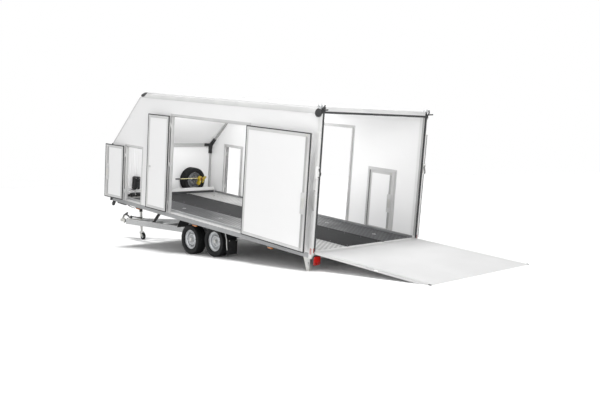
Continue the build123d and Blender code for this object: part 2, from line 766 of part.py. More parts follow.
with BuildPart() as roof_rails:
    # Hollow quarter-round profile along each edge of the roof, mitred against the slanted panel
    round_middle = (box_half_width - roof_edge_radius, wall_top)
    with BuildSketch(section(box, post_depth)):
        with Locations(round_middle):
            Circle(roof_edge_radius + edge_sheet)
            Circle(roof_edge_radius, mode=Mode.SUBTRACT)
            Circle(roof_edge_radius - panel_thickness + edge_sheet)
            Circle(roof_edge_radius - panel_thickness, mode=Mode.SUBTRACT)
            for turn in (3, 45, 87):
                with Locations(Location((0, 0), turn)):
                    with Locations((roof_edge_radius - panel_thickness / 2, 0)):
                        Rectangle(panel_thickness, 4)
        with Locations(round_middle):
            Rectangle(2 * roof_edge_radius, 2 * roof_edge_radius, align=(Align.MIN, Align.MIN),
                      mode=Mode.INTERSECT)
    extrude(amount=box_length - post_depth)
    with BuildSketch(side(box, frame_outer)):
        with BuildLine():
            Polyline(*outline(panel_thickness, post_depth, wall_top - 1)[3:],
                     (post_depth, wall_top), outline(panel_thickness, post_depth, top=wall_top)[3],
                     close=True)
        make_face()
    extrude(amount=edge_sheet + roof_edge_radius, mode=Mode.INTERSECT)
    mirror(about=upside_down)

with BuildPart() as edge_rails:
    # Angle profile over the mitred corners between the walls and the front
    with BuildSketch(side(box, frame_outer)):
        with BuildLine():
            Polyline(*outline(-edge_sheet, post_depth, top=wall_top), close=True)
        make_face()
        with BuildLine():
            Polyline(*outline(edge_depth, post_depth, top=wall_top), close=True)
        make_face(mode=Mode.SUBTRACT)
    extrude(amount=edge_sheet)
    with BuildSketch(side(box, frame_outer)):
        with BuildLine():
            Polyline(*outline(-edge_sheet, post_depth, top=wall_top), close=True)
        make_face()
        with BuildLine():
            Polyline(*outline(0, post_depth, top=wall_top), close=True)
        make_face(mode=Mode.SUBTRACT)
    extrude(amount=edge_sheet + edge_cover)
    mirror(about=upside_down)

# ---------------------------------------------------------------- rear frame
ramp_pin_x = -ramp_pin_back
ramp_pin_z = -ramp_pin_drop
post_inner = frame_outer - post_width
frame_high = roof_height + edge_sheet
with BuildPart() as rear_portal:
    with BuildSketch(section(box, 0)):
        with Locations((0, (rail_bottom + frame_high) / 2)):
            Rectangle(2 * frame_outer, frame_high - rail_bottom)
        with Locations((0, rear_opening_height / 2)):
            Rectangle(2 * post_inner, rear_opening_height, mode=Mode.SUBTRACT)
    extrude(amount=post_depth)
rear_portal = cut_to_section(rear_portal.part, edge_sheet)

with BuildPart() as rear_frame:
    add(rear_portal)
    # Cover profiles on the outer faces of the posts
    with BuildSketch(section(box, 0)):
        with Locations((frame_outer + post_cover / 2, (rail_bottom + post_cover_top) / 2),
                       (-frame_outer - post_cover / 2, (rail_bottom + post_cover_top) / 2)):
            Rectangle(post_cover, post_cover_top - rail_bottom)
    extrude(amount=post_depth)
    # Ramp hinges: an arm and a knuckle on the rear sill, and the pin that the ramp turns on
    for place in ramp_hinge_places:
        with BuildSketch(side(box, place + ramp_knuckle_length / 2)):
            with Locations((ramp_pin_x, ramp_pin_z)):
                Circle(ramp_knuckle_radius)
            with Locations((ramp_pin_x / 2, ramp_pin_z)):
                Rectangle(ramp_pin_back, 12)
        extrude(amount=ramp_knuckle_length)
        add(pin(box, ramp_pin_x, ramp_pin_z, ramp_pin_radius, place - ramp_knuckle_length,
                place + ramp_knuckle_length))
    # Ramp latches and grab bars on the posts
    for hand in (-1, 1):
        with Locations(box.location * Location((2, hand * (frame_outer + 17), 1141))):
            Box(44, 34, 166)
        with Locations(box.location * Location((22, hand * (frame_outer + 14), 745))):
            Box(22, 28, 250)

# ---------------------------------------------------------------- ramp
taper = (ramp_thickness - ramp_lip) / tan(radians(box_tilt))
notch_length = ramp_knuckle_length + 10


def ramp_board(half_width, step):
    """Board whose underside is cut level over its last stretch, which lies flat on the ground."""
    with BuildPart() as board:
        with BuildSketch(side(box, half_width)):
            with BuildLine():
                Polyline((-ramp_gap, -step), (-ramp_reach, -step), (-ramp_reach, step - ramp_lip),
                         (-ramp_reach + taper, step - ramp_thickness), (-ramp_gap, step - ramp_thickness),
                         close=True)
            make_face()
        extrude(amount=2 * half_width)
    return board.part


with BuildPart() as ramp_frame:
    add(ramp_board(ramp_half_width, 0))
    with BuildSketch(plan(box, -ramp_thickness)):
        with Locations((-(ramp_near_edge + ramp_reach - ramp_far_edge) / 2, 0)):
            Rectangle(ramp_reach - ramp_far_edge - ramp_near_edge, 2 * (ramp_half_width - ramp_edge))
        for place in ramp_hinge_places:
            with Locations((ramp_pin_x + 2, place)):
                Rectangle(48, notch_length)
    extrude(amount=ramp_thickness, mode=Mode.SUBTRACT)
    for place in ramp_hinge_places:
        add(pin(box, ramp_pin_x, ramp_pin_z, ramp_pin_radius + pin_clearance,
                place - ramp_knuckle_length - 2, place + ramp_knuckle_length + 2), mode=Mode.SUBTRACT)

with BuildPart() as ramp_panel:
    with BuildSketch(plan(box, -ramp_thickness)):
        with Locations((-(ramp_near_edge + ramp_reach - ramp_far_edge) / 2, 0)):
            Rectangle(ramp_reach - ramp_far_edge - ramp_near_edge, 2 * (ramp_half_width - ramp_edge))
    extrude(amount=ramp_thickness)
    add(ramp_board(ramp_half_width, ramp_skin_step), mode=Mode.INTERSECT)


# ---------------------------------------------------------------- hinges and leaves
def leaf_direction(hand, swing):
    """Direction from a leaf's hinge pin to its free edge; hand is 1 where the leaf shuts forwards."""
    return box.x_dir * (hand * cos(radians(swing))) + box.y_dir * sin(radians(swing))


def leaf_face(pin_x, hand, swing):
    """Plane through a leaf's hinge pin: local x to its free edge, local y up, local z times hand inwards."""
    away = leaf_direction(hand, swing)
    return Plane(origin=box.from_local_coords((pin_x, pin_side, 0)), x_dir=away, z_dir=away.cross(box.z_dir))


def hinge_half(pin_x, hand, swing, height, seat, pinned):
    """Half of a lift-off hinge, screwed on at a depth inside its pin. The pinned half is the lower one."""
    low = height - knuckle_length if pinned else height + knuckle_gap
    across = Plane(origin=box.from_local_coords((pin_x, pin_side, low)), x_dir=leaf_direction(hand, swing),
                   z_dir=box.z_dir)
    plate_face = knuckle_radius - 2
    with BuildPart() as half:
        with BuildSketch(across):
            Circle(knuckle_radius)
            with Locations((hinge_plate_width / 2, -hand * (seat + plate_face) / 2)):
                Rectangle(hinge_plate_width, seat - plate_face)
            if not pinned:
                Circle(hinge_pin_radius + pin_clearance, mode=Mode.SUBTRACT)
        extrude(amount=knuckle_length)
        if pinned:
            with BuildSketch(across):
                Circle(hinge_pin_radius)
            extrude(amount=2 * knuckle_length - 2)
    return half.part


def leaf_frame(pin_x, hand, swing, width, high, hinge_heights, lock_height, lock_length):
    """Edge profile of a leaf with its hinge halves, its inner lock case and its outer handle."""
    face = leaf_face(pin_x, hand, swing)
    middle = (half_gap + width / 2, (leaf_low + high) / 2)
    with BuildPart() as piece:
        with BuildSketch(face.offset(hand * hinge_standoff)):
            with Locations(middle):
                Rectangle(width, high - leaf_low)
                Rectangle(width - 2 * leaf_edge, high - leaf_low - 2 * leaf_edge, mode=Mode.SUBTRACT)
        extrude(amount=hand * leaf_thickness)
        lock_place = half_gap + width - lock_inset - lock_width / 2
        with BuildSketch(face.offset(hand * (hinge_standoff + leaf_thickness - leaf_recess))):
            with Locations((lock_place, lock_height)):
                RectangleRounded(lock_width, lock_length, 14)
        extrude(amount=hand * lock_depth)
        with BuildSketch(face.offset(hand * (hinge_standoff + leaf_recess))):
            with Locations((lock_place, lock_height)):
                RectangleRounded(lock_width - 16, max(lock_length - 110, 36), 14)
        extrude(amount=-hand * lock_depth)
        for height in hinge_heights:
            add(hinge_half(pin_x, hand, swing, height, hinge_standoff, False))
    return piece.part


def leaf_panel(pin_x, hand, swing, width, high):
    """Sandwich panel inside a leaf's edge profile, set back a little on both faces."""
    face = leaf_face(pin_x, hand, swing)
    with BuildPart() as piece:
        with BuildSketch(face.offset(hand * (hinge_standoff + leaf_recess))):
            with Locations((half_gap + width / 2, (leaf_low + high) / 2)):
                Rectangle(width - 2 * leaf_edge, high - leaf_low - 2 * leaf_edge)
        extrude(amount=hand * (leaf_thickness - 2 * leaf_recess))
    return piece.part


def hinge_rows(high, count):
    """Heights of a leaf's hinges, evenly spread between its ends."""
    margin = 170
    step = (high - leaf_low - 2 * margin) / (count - 1)
    return [leaf_low + margin + row * step for row in range(count)]


wing_hinges = hinge_rows(wing_high, 3)
hatch_hinges = hinge_rows(hatch_high, 2)
leaves = {
    "rear_wing": (wing_rear_pin, 1, wing_swing, rear_wing_width, wing_high, wing_hinges, 690, lock_length),
    "front_wing": (wing_front_pin, -1, wing_swing, front_wing_width, wing_high, wing_hinges, 750, 40),
    "front_hatch": (front_hatch_pin, -1, hatch_swing, hatch_width, hatch_high, hatch_hinges, 480, lock_length),
    "rear_hatch": (rear_hatch_pin, -1, 0, hatch_width, hatch_high, hatch_hinges, 480, lock_length),
}


def frame_ring(hole, outer_side, inner_side, grow, inset):
    """Ring around a hole of the wall, between two distances from the box's middle."""
    with BuildPart() as ring:
        with BuildSketch(side(box, outer_side)):
            hole_rectangle(hole, grow)
            hole_rectangle(hole, -inset, rail_top + inset, Mode.SUBTRACT)
        extrude(amount=outer_side - inner_side)
    return ring.part


with BuildPart() as door_frames:
    # Each frame lines the wall's cut edge, laps over both faces and has a stop behind the leaf
    for hole in holes:
        add(frame_ring(hole, frame_outer, frame_inner, 0, frame_web))
        add(frame_ring(hole, frame_outer, box_half_width, frame_flange, frame_web))
        add(frame_ring(hole, box_half_width - panel_thickness, box_half_width - panel_thickness - edge_sheet,
                       frame_flange, frame_web))
        add(frame_ring(hole, frame_inner + stop_thickness, frame_inner, 0, frame_stop))
    for pin_x, hand, _, _, _, hinge_heights, *_ in leaves.values():
        for height in hinge_heights:
            add(hinge_half(pin_x, -hand, 0, height, hinge_standoff - edge_sheet, True))
    mirror(about=upside_down)

with BuildPart() as rear_hatch_frames:
    add(leaf_frame(*leaves["rear_hatch"]))
    mirror(about=upside_down)

with BuildPart() as rear_hatch_panels:
    add(leaf_panel(*leaves["rear_hatch"][:5]))
    mirror(about=upside_down)

# ---------------------------------------------------------------- corner caps
cap_grow = edge_sheet + cap_sheet
cap_places = (outline(0)[1], outline(0)[2], outline(0)[3], outline(0)[4])
cap_radii = (cap_radius, cap_radius / 2, cap_radius, cap_radius)


def cap_block(grow, rear, low):
    """Solid of the whole box, grown outwards, that the caps are cut from."""
    with BuildPart() as block:
        with BuildSketch(side(box, box_half_width + grow)):
            with BuildLine():
                Polyline(*outline(-grow, rear, low), close=True)
            make_face()
        extrude(amount=2 * (box_half_width + grow))
    return cut_to_section(block.part, grow)


with BuildPart() as corner_caps:
    for (corner_x, corner_z), radius in zip(cap_places, cap_radii):
        with BuildSketch(side(box, box_half_width + cap_grow)):
            with Locations((corner_x, corner_z)):
                Circle(radius)
        extrude(amount=cap_grow + cap_cover)
    add(cap_block(cap_grow, -cap_sheet, rail_bottom - cap_sheet), mode=Mode.INTERSECT)
    add(cap_block(edge_sheet, 0, rail_bottom), mode=Mode.SUBTRACT)
    mirror(about=upside_down)

# ---------------------------------------------------------------- inside of the box
inner_side = box_half_width - panel_thickness
with BuildPart() as inner_profiles:
    # Upright, knee and slanted profiles that brace the front corners
    inner = outline(panel_thickness, top=wall_top)
    deep = outline(panel_thickness + inner_profile, top=wall_top)
    knee_x, knee_z = inner[2]
    with BuildSketch(side(box, inner_side)):
        with BuildLine():
            Polyline((knee_x, upstand_height), (knee_x, knee_z), inner[3], deep[3], deep[2],
                     (deep[2][0], upstand_height), close=True)
        make_face()
    extrude(amount=inner_profile)
    with BuildSketch(side(box, inner_side - inner_profile)):
        with BuildLine():
            Polyline((knee_x, knee_z - 30), (knee_x, knee_z), (knee_x - 30, knee_z + 30),
                     (deep[2][0] - 6, knee_z + 8), (deep[2][0] - 6, knee_z - 30), close=True)
        make_face()
    extrude(amount=inner_side - inner_profile)
    mirror(about=upside_down)

with BuildPart() as kick_board:
    with BuildSketch(side(box, floor_half_width)):
        with Locations((kick_board_reach + 10, kick_board_height / 2)):
            Rectangle(20, kick_board_height)
        with Locations((kick_board_reach + 22, kick_board_height - 10)):
            Rectangle(44, 20)
    extrude(amount=2 * floor_half_width)

spare_place = wheel_plane(box, spare_reach, spare_side, tyre_radius)
spare_place = Plane(origin=spare_place.origin, x_dir=box.y_dir, z_dir=-box.x_dir)
spare_tyre = tyre(spare_place)
spare_rim = rim(spare_place)

with BuildPart() as cable_puller:
    # Hand winch hung in front of the spare wheel on a hook bolt through its hub
    puller_plane = section(box, kick_board_reach - 70)
    with BuildSketch(puller_plane):
        with BuildLine():
            Polyline((puller_side - 145, 268), (puller_side - 135, 335), (puller_side - 40, 362),
                     (puller_side + 70, 345), (puller_side + 140, 300), (puller_side + 120, 240),
                     (puller_side - 20, 215), close=True)
        make_face()
    extrude(amount=60)
    with BuildSketch(puller_plane.offset(60)):
        with Locations((spare_side, 262)):
            Circle(12)
    extrude(amount=86)
    with BuildSketch(side(box, puller_side + 60)):
        with Locations((kick_board_reach - 40, 318)):
            Circle(9)
    extrude(amount=-470)
    with BuildSketch(side(box, puller_side + 530)):
        with Locations((kick_board_reach - 40, 318)):
            Circle(16)
    extrude(amount=-110)

with BuildPart() as hydraulic_unit:
    # Pump case on the front wall, and the motor and its oil tank on a tray below it
    pump_depth = 90
    tray_reach = kick_board_reach - 100
    motor_height = 50
    with BuildSketch(section(box, inner_length - pump_depth)):
        with Locations((680, 232)):
            RectangleRounded(130, 265, 20)
    extrude(amount=pump_depth)
    with BuildSketch(plan(box, 0)):
        with Locations((tray_reach, 840)):
            RectangleRounded(180, 340, 12)
    extrude(amount=14)
    for left_end, length, radius in ((870, 170, 38), (985, 85, 38), (900, 30, 16)):
        with BuildSketch(side(box, left_end)):
            with Locations((tray_reach + 15, motor_height)):
                Circle(radius)
        extrude(amount=length)

# ---------------------------------------------------------------- feet, lamps and mudguards
foot_width = 60
foot_sheet = 5
foot_side = box_half_width - 6
rail_under = side(chassis, foot_side)


def ground_line(x):
    """Height in the box frame of the ground below a distance along the box."""
    return -(rear_edge_height + x * sin(radians(box_tilt))) / cos(radians(box_tilt))


with BuildPart() as rear_feet:
    # Tapered channel under each rear corner, open to the front, with a sole flat on the ground
    heel, toe_top, toe = 52, 188, 106
    foot = [(heel, rail_bottom), (toe_top, rail_bottom), (toe, ground_line(toe)), (heel, ground_line(heel))]
    hollow = [(heel + foot_sheet, rail_bottom), (toe_top + 10, rail_bottom),
              (toe + 10, ground_line(toe + 10) + foot_sheet),
              (heel + foot_sheet, ground_line(heel + foot_sheet) + foot_sheet)]
    with BuildSketch(side(box, foot_side)):
        with BuildLine():
            Polyline(*foot, close=True)
        make_face()
    extrude(amount=foot_width)
    with BuildSketch(side(box, foot_side - foot_sheet)):
        with BuildLine():
            Polyline(*hollow, close=True)
        make_face()
    extrude(amount=foot_width - foot_sheet, mode=Mode.SUBTRACT)
    with BuildSketch(side(box, foot_side)):
        with Locations((76, -178)):
            SlotOverall(44, 16, rotation=75)
    extrude(amount=foot_sheet, mode=Mode.SUBTRACT)
    mirror(about=upside_down)

with BuildPart() as tail_lights:
    # Lamp cluster on a bracket plate that hangs from the rear sill
    lamp_middle = (1132, -126)
    with BuildSketch(section(box, 0)):
        with Locations(lamp_middle):
            RectangleRounded(150, 140, 22)
    extrude(amount=-32)
    fillet(tail_lights.edges().group_by(Axis.X)[0], 8)
    with BuildSketch(section(box, 0)):
        with Locations((1120, -105)):
            Rectangle(120, 110)
    extrude(amount=-5)
    mirror(about=upside_down)

with BuildPart() as marker_lamps:
    # Side markers under the rails
    for reach in (940, 2910, 4750):
        with Locations(box.location * Location((reach, box_half_width - 22, rail_bottom - 15))):
            Box(110, 34, 30)
    # Position lamps on rubber arms under the front corners
    with BuildSketch(side(box, box_half_width - 12)):
        with BuildLine():
            Polyline((5590, rail_bottom), (5680, rail_bottom), (5722, -172), (5692, -198), (5652, -172),
                     close=True)
        make_face()
    extrude(amount=34)
    mirror(about=upside_down)

with BuildPart() as mudguards:
    # Bent sheet over each pair of wheels, with a flap behind it
    with BuildSketch(side(box, wheel_side + mudguard_width / 2)):
        with BuildLine():
            FilletPolyline((3665, -300), (3540, member_bottom - 6),
                           (2360, member_bottom - 6), (2203, -300), radius=90)
        trace(line_width=mudguard_sheet)
    extrude(amount=mudguard_width)
    with BuildSketch(section(box, 2196)):
        with Locations((wheel_side, -385)):
            RectangleRounded(mudguard_width - 20, 250, 12)
    extrude(amount=6)
    mirror(about=upside_down)

# ---------------------------------------------------------------- files
pieces = {
    "chassis_beams": chassis_beams.part,
    "chassis_cross_members": chassis_cross_members.part,
    "front_axle": front_axle,
    "rear_axle": rear_axle,
    "overrun_device": overrun_device.part,
    "handbrake_lever": handbrake_lever.part,
    "coupling_head": coupling_head.part,
    "jockey_tube": jockey_tube.part,
    "jockey_fork": jockey_fork.part,
    "jockey_wheel": jockey_wheel.part,
    "cylinder_barrel": cylinder_barrel.part,
    "cylinder_rod": cylinder_rod.part,
    "side_rails": side_rails.part,
    "underframe": underframe.part,
    "centre_floor": centre_floor.part,
    "floor_tracks": floor_tracks.part,
    "left_wall": left_wall.part,
    "right_wall": right_wall.part,
    "front_wall": front_wall,
    "slant_panel": slant_panel,
    "roof_panel": roof_panel.part,
    "roof_rails": roof_rails.part,
    "edge_rails": edge_rails.part,
    "rear_frame": rear_frame.part,
    "corner_caps": corner_caps.part,
    "door_frames": door_frames.part,
    "rear_hatch_frames": rear_hatch_frames.part,
    "rear_hatch_panels": rear_hatch_panels.part,
    "inner_profiles": inner_profiles.part,
    "kick_board": kick_board.part,
    "spare_tyre": spare_tyre,
    "spare_rim": spare_rim,
    "cable_puller": cable_puller.part,
    "hydraulic_unit": hydraulic_unit.part,
    "rear_feet": rear_feet.part,
    "tail_lights": tail_lights.part,
    "marker_lamps": marker_lamps.part,
    "mudguards": mudguards.part,
    "ramp_frame": ramp_frame.part,
    "ramp_panel": ramp_panel.part,
}
for corner, place in wheel_places.items():
    pieces[f"{corner}_tyre"] = tyre(place)
    pieces[f"{corner}_rim"] = rim(place)
for leaf, sizes in leaves.items():
    if leaf == "rear_hatch":
        continue
    left_frame = leaf_frame(*sizes)
    left_panel = leaf_panel(*sizes[:5])
    pieces[f"left_{leaf}_frame"] = left_frame
    pieces[f"left_{leaf}_panel"] = left_panel
    pieces[f"right_{leaf}_frame"] = left_frame.mirror(upside_down)
    pieces[f"right_{leaf}_panel"] = left_panel.mirror(upside_down)

os.makedirs("parts", exist_ok=True)
for name, piece in pieces.items():
    piece.label = name
    export_step(piece, f"parts/{name}.step")

print(f"box tilt {box_tilt:.4f} deg, rear edge at x {rear_edge_x:.2f} mm, {len(pieces)} pieces")
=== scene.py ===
# %% [markdown]
# # Enclosed car trailer, tipped back for loading
# The trailer's hard parts come from CAD and stay where they are. This notebook gives each of them its
# finish, and adds what is too small or too soft for CAD: tread, seals, rivets, lenses, pipes and locks.
#
# Everything is in metres. X points forwards, Y to the trailer's left and Z up.

# %% Start: load the frame
import json

import bmesh
import bpy
import numpy as np
from mathutils import Matrix, Vector


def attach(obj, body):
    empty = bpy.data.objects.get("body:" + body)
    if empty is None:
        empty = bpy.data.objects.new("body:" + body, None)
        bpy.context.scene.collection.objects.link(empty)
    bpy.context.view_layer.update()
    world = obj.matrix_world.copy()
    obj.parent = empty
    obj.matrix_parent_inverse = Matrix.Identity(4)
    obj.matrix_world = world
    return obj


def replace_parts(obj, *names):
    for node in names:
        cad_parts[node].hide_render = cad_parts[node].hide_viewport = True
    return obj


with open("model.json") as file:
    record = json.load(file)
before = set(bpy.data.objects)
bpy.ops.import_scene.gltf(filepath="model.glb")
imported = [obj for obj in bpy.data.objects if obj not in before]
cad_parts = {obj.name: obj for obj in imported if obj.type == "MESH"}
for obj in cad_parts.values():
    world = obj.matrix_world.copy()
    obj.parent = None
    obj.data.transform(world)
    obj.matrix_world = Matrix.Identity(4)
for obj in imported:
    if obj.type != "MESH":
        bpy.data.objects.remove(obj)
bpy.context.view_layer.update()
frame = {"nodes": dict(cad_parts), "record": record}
NODES = frame["nodes"]
JOINTS = {joint["name"]: joint for joint in frame["record"]["behaviour"]["joints"]}

# %% [markdown]
# ## Places to build in
# The chassis stands level, but the box leans back on it. A detail of the box is easiest to place along the
# box's own floor, so a "place" is an origin with three axes, and one function turns points given in it into
# the shared frame. The slope comes from the hinge that joins box and chassis: its range is exactly the
# angle that the box is tipped by. The rear edge of the box's floor is the origin of both frames in plan.

# %% Places on the chassis and on the box
SLOPE = float(np.radians(JOINTS["box_tilt"]["range_deg"][1]))
PIN = np.array(JOINTS["ramp_hinge"]["pos_m"])
RAMP_PIN_BACK = 0.028
RAMP_PIN_DROP = 0.018
ALONG = np.array([np.cos(SLOPE), 0, np.sin(SLOPE)])
LEFT = np.array([0.0, 1.0, 0.0])
UPRIGHT = np.array([-np.sin(SLOPE), 0, np.cos(SLOPE)])
REAR_EDGE = PIN * (1, 0, 1) + RAMP_PIN_BACK * ALONG + RAMP_PIN_DROP * UPRIGHT
BOX = (REAR_EDGE, np.stack((ALONG, LEFT, UPRIGHT)))
CHASSIS = (REAR_EDGE * (1, 0, 0), np.eye(3))


def put(points, place):
    """Shared-frame points: a place's origin plus each local coordinate times its axis."""
    return place[0] + np.asarray(points, float) @ place[1]


def facing(ground, origin, out, up=(0, 0, 1)):
    """Place on another place: local z looks out, local y goes up and local x is their cross product."""
    out = np.asarray(out, float) / np.linalg.norm(out)
    across = np.cross(up, out)
    across /= np.linalg.norm(across)
    return put(origin, ground), np.stack((across, np.cross(out, across), out)) @ ground[1]


print("box slope", round(float(np.degrees(SLOPE)), 3), "degrees, rear edge at", REAR_EDGE.round(4))

# %% [markdown]
# ## Camera first
# The view comes before any detail, so that each piece can be judged from where it is seen. A long lens
# from behind the left rear corner, a little above waist height, keeps the sides nearly parallel.

# %% Camera
CAMERA_PLACE = Vector(put((-7.5702, 8.5438, 1.517), CHASSIS))
CAMERA_FORWARD = Vector((0.72747, -0.68458, -0.04622)).normalized()
CAMERA_RIGHT = Vector((-0.68596, -0.72715, -0.02665)).normalized()
CAMERA_LENS = 44.57
scene = bpy.context.scene
camera_data = bpy.data.cameras.new("camera")
camera_data.lens = CAMERA_LENS
camera_data.sensor_width = 36
camera_data.clip_end = 200
camera = bpy.data.objects.new("camera", camera_data)
scene.collection.objects.link(camera)
camera_up = CAMERA_RIGHT.cross(CAMERA_FORWARD)
camera.matrix_world = Matrix.Translation(CAMERA_PLACE) @ Matrix(
    (CAMERA_RIGHT, camera_up, -CAMERA_FORWARD)).transposed().to_4x4()
scene.camera = camera
print("camera at", tuple(round(value, 2) for value in CAMERA_PLACE))

# %% [markdown]
# ## Colours and material nodes
# Colours are written as hex values, as a paint chart gives them, and turned to the linear values that
# light is added up in. Every finish is a small recipe of nodes on the object's own coordinates: a slow
# drift of colour and gloss over hand-sized patches, and a fine skin that only shows in highlights.


# %% Helpers for finishes
def linear(hex_colour):
    """Linear RGBA of an sRGB hex value: c/12.92 below 0.04045, else ((c + 0.055) / 1.055) ** 2.4."""
    values = np.array([int(hex_colour[i:i + 2], 16) for i in (1, 3, 5)]) / 255
    out = np.where(values <= 0.04045, values / 12.92, ((values + 0.055) / 1.055) ** 2.4)
    return (*out, 1.0)


def add_node(material, kind, inputs=None, **settings):
    """Adds one shader node. An input is a plain value, an output socket, or a node for its first output."""
    node = material.node_tree.nodes.new("ShaderNode" + kind)
    for key, value in settings.items():
        setattr(node, key, value)
    for key, value in (inputs or {}).items():
        if isinstance(value, bpy.types.Node):
            value = value.outputs[0]
        if isinstance(value, bpy.types.NodeSocket):
            material.node_tree.links.new(value, node.inputs[key])
        else:
            node.inputs[key].default_value = value
    return node


def blank(name):
    """An empty material, and its object coordinates turned so that x runs along the box."""
    material = bpy.data.materials.new(name)
    material.use_nodes = True
    material.node_tree.nodes.clear()
    coordinates = add_node(material, "TexCoord")
    rotated = add_node(material, "Mapping",
                       {"Vector": coordinates.outputs["Object"], "Rotation": (0, SLOPE, 0)})
    return material, rotated


def worn(name, colours, roughness, patch, skin, stretch=(1, 1, 1), **shader):
    """Finish whose colour and roughness drift together between two values over patches of a size in metres.

    Its skin is a second noise with bumps of a size and depth in metres, stretched along the axes given.
    """
    material, place = blank(name)
    drift = add_node(material, "TexNoise", {"Vector": place, "Scale": 1 / patch, "Detail": 5.0})
    factor = add_node(material, "MapRange",
                      {"Value": drift.outputs["Fac"], "From Min": 0.35, "From Max": 0.65})
    colour = add_node(material, "MixRGB",
                      {"Fac": factor, "Color1": linear(colours[0]), "Color2": linear(colours[1])})
    gloss = add_node(material, "MapRange",
                     {"Value": factor, "To Min": roughness[0], "To Max": roughness[1]})
    drawn = add_node(material, "Mapping", {"Vector": place, "Scale": tuple(1 / s for s in stretch)})
    grain = add_node(material, "TexNoise", {"Vector": drawn, "Scale": 1 / skin[0]})
    relief = add_node(material, "Bump", {"Height": grain.outputs["Fac"], "Distance": skin[1]})
    surface_shader = add_node(material, "BsdfPrincipled",
                              {"Base Color": colour, "Roughness": gloss, "Normal": relief,
                               **{key.replace("_", " "): value for key, value in shader.items()}})
    add_node(material, "OutputMaterial", {"Surface": surface_shader})
    return material


# %% [markdown]
# ## White panels
# The walls and doors are sandwich panels: a gelcoated glass-fibre skin on a foam core. Gelcoat is sprayed
# into a polished mould, so it is glossy with a very slight waviness, called orange peel, some 12 mm
# across. The eye sees it only in how highlights wobble, and as faint dust that takes the gloss down.

# %% Gelcoat
gelcoat = worn("white gelcoat skin", ("#F0F0F0", "#F2F2F2"), (0.3, 0.34), 1.5, (0.012, 0.00006),
               Coat_Weight=0.2, Coat_Roughness=0.12)

# %% [markdown]
# ## Aluminium
# The profiles are extruded and clear anodised: fine die lines run along each bar and the anodic film makes
# the metal pale and silky. Die lines are under 0.1 mm apart on a real bar, and are drawn about 2 mm apart so
# that they show. Lying bars, standing bars and the door frames differ in direction, and a little in tone,
# because they come from different batches. The lower rail is much darker than the rest: painted shade.

# %% Anodised extrusions
PATCH = 0.45
DIE_LINE = (0.002, 0.00005)
anodised_along = worn("anodised profile, lying", ("#CECECE", "#D9D9D8"), (0.34, 0.42), PATCH, DIE_LINE,
                      (160, 1, 1), Metallic=0.8)
anodised_up = worn("anodised profile, standing", ("#DEDEDE", "#E6E6E5"), (0.34, 0.42), PATCH, DIE_LINE,
                   (1, 1, 160), Metallic=0.2)
anodised_door = worn("anodised door profile", ("#CACACA", "#D6D6D5"), (0.38, 0.46), PATCH, DIE_LINE,
                     (8, 1, 8), Metallic=0.5)
# Painted shade: the lower rail is a much darker copy of the anodised profile.
anodised_rail_painted_shade = worn("anodised lower rail, painted shade", ("#999A9B", "#A8A9AA"), (0.36, 0.46), PATCH, DIE_LINE,
                     (160, 1, 1), Metallic=0.7)
anodised_dark = worn("anodised strip, darker batch", ("#ACACAC", "#B8B8B7"), (0.36, 0.46), PATCH, DIE_LINE,
                     (1, 1, 160), Metallic=0.3)

# %% [markdown]
# ## Steel
# The chassis is hot-dip galvanised after welding: the zinc freezes in flat crystals, called spangle, 10 to
# 20 mm across, each a slightly different grey. Small parts are zinc plated instead, which is even and
# brighter, with a faint warm passivation colour.

# %% Galvanised steel
SPANGLE = 0.014
galvanised, place = blank("hot-dip galvanised steel")
crystals = add_node(galvanised, "TexVoronoi", {"Vector": place, "Scale": 1 / SPANGLE})
grey = add_node(galvanised, "SeparateColor", {"Color": crystals.outputs["Color"]})
zinc = add_node(galvanised, "MixRGB",
                {"Fac": grey, "Color1": linear("#B2B3B4"), "Color2": linear("#CBCCCC")})
frost = add_node(galvanised, "MapRange", {"Value": grey, "To Min": 0.36, "To Max": 0.52})
runs = add_node(galvanised, "TexNoise", {"Vector": place, "Scale": 45.0, "Detail": 4.0})
relief = add_node(galvanised, "Bump", {"Height": runs.outputs["Fac"], "Distance": 0.0004})
metal = add_node(galvanised, "BsdfPrincipled",
                 {"Base Color": zinc, "Roughness": frost, "Normal": relief, "Metallic": 0.7})
add_node(galvanised, "OutputMaterial", {"Surface": metal})

# %% Plated, chromed and cast metal
zinc_plate = worn("zinc-plated steel", ("#C2C3C3", "#D2D1CB"), (0.28, 0.4), 0.11, (0.006, 0.0001),
                  Metallic=0.8)
chrome_rod = worn("hard-chromed rod", ("#C6C8CB", "#DADCDF"), (0.08, 0.18), 0.03, (0.003, 0.00001),
                  Metallic=1.0)
cast_aluminium = worn("cast aluminium, tumbled", ("#B9BBBC", "#C9CACB"), (0.42, 0.55), 0.05,
                      (0.0012, 0.0001), Metallic=0.7)

# %% [markdown]
# ## Floor
# The middle of the floor is film-faced plywood: birch under dark phenolic film, into which a wire mesh is
# pressed for grip. Its diamonds are about 5 mm across and are drawn 14 mm wide, so that they show.

# %% Floor finishes
MESH_PITCH = 0.014
WAVE_PERIOD = 0.314  # of the wave texture at scale 1, in metres
plywood, place = blank("film-faced plywood, wire-mesh print")
weaves = []
for turn in (np.pi / 4, -np.pi / 4):
    rotated = add_node(plywood, "Mapping", {"Vector": place, "Rotation": (0, 0, float(turn))})
    weaves.append(add_node(plywood, "TexWave",
                           {"Vector": rotated, "Scale": WAVE_PERIOD / MESH_PITCH}).outputs["Fac"])
wires = add_node(plywood, "Math", {0: weaves[0], 1: weaves[1]}, operation="MAXIMUM")
long_place = add_node(plywood, "Mapping", {"Vector": place, "Scale": (0.6, 3, 1)})
scuffs = add_node(plywood, "TexNoise", {"Vector": long_place, "Scale": 3.0, "Detail": 6.0})
scuff = add_node(plywood, "MapRange", {"Value": scuffs.outputs["Fac"], "From Min": 0.35, "From Max": 0.65})
film = add_node(plywood, "MixRGB", {"Fac": scuff, "Color1": linear("#333334"), "Color2": linear("#424243")})
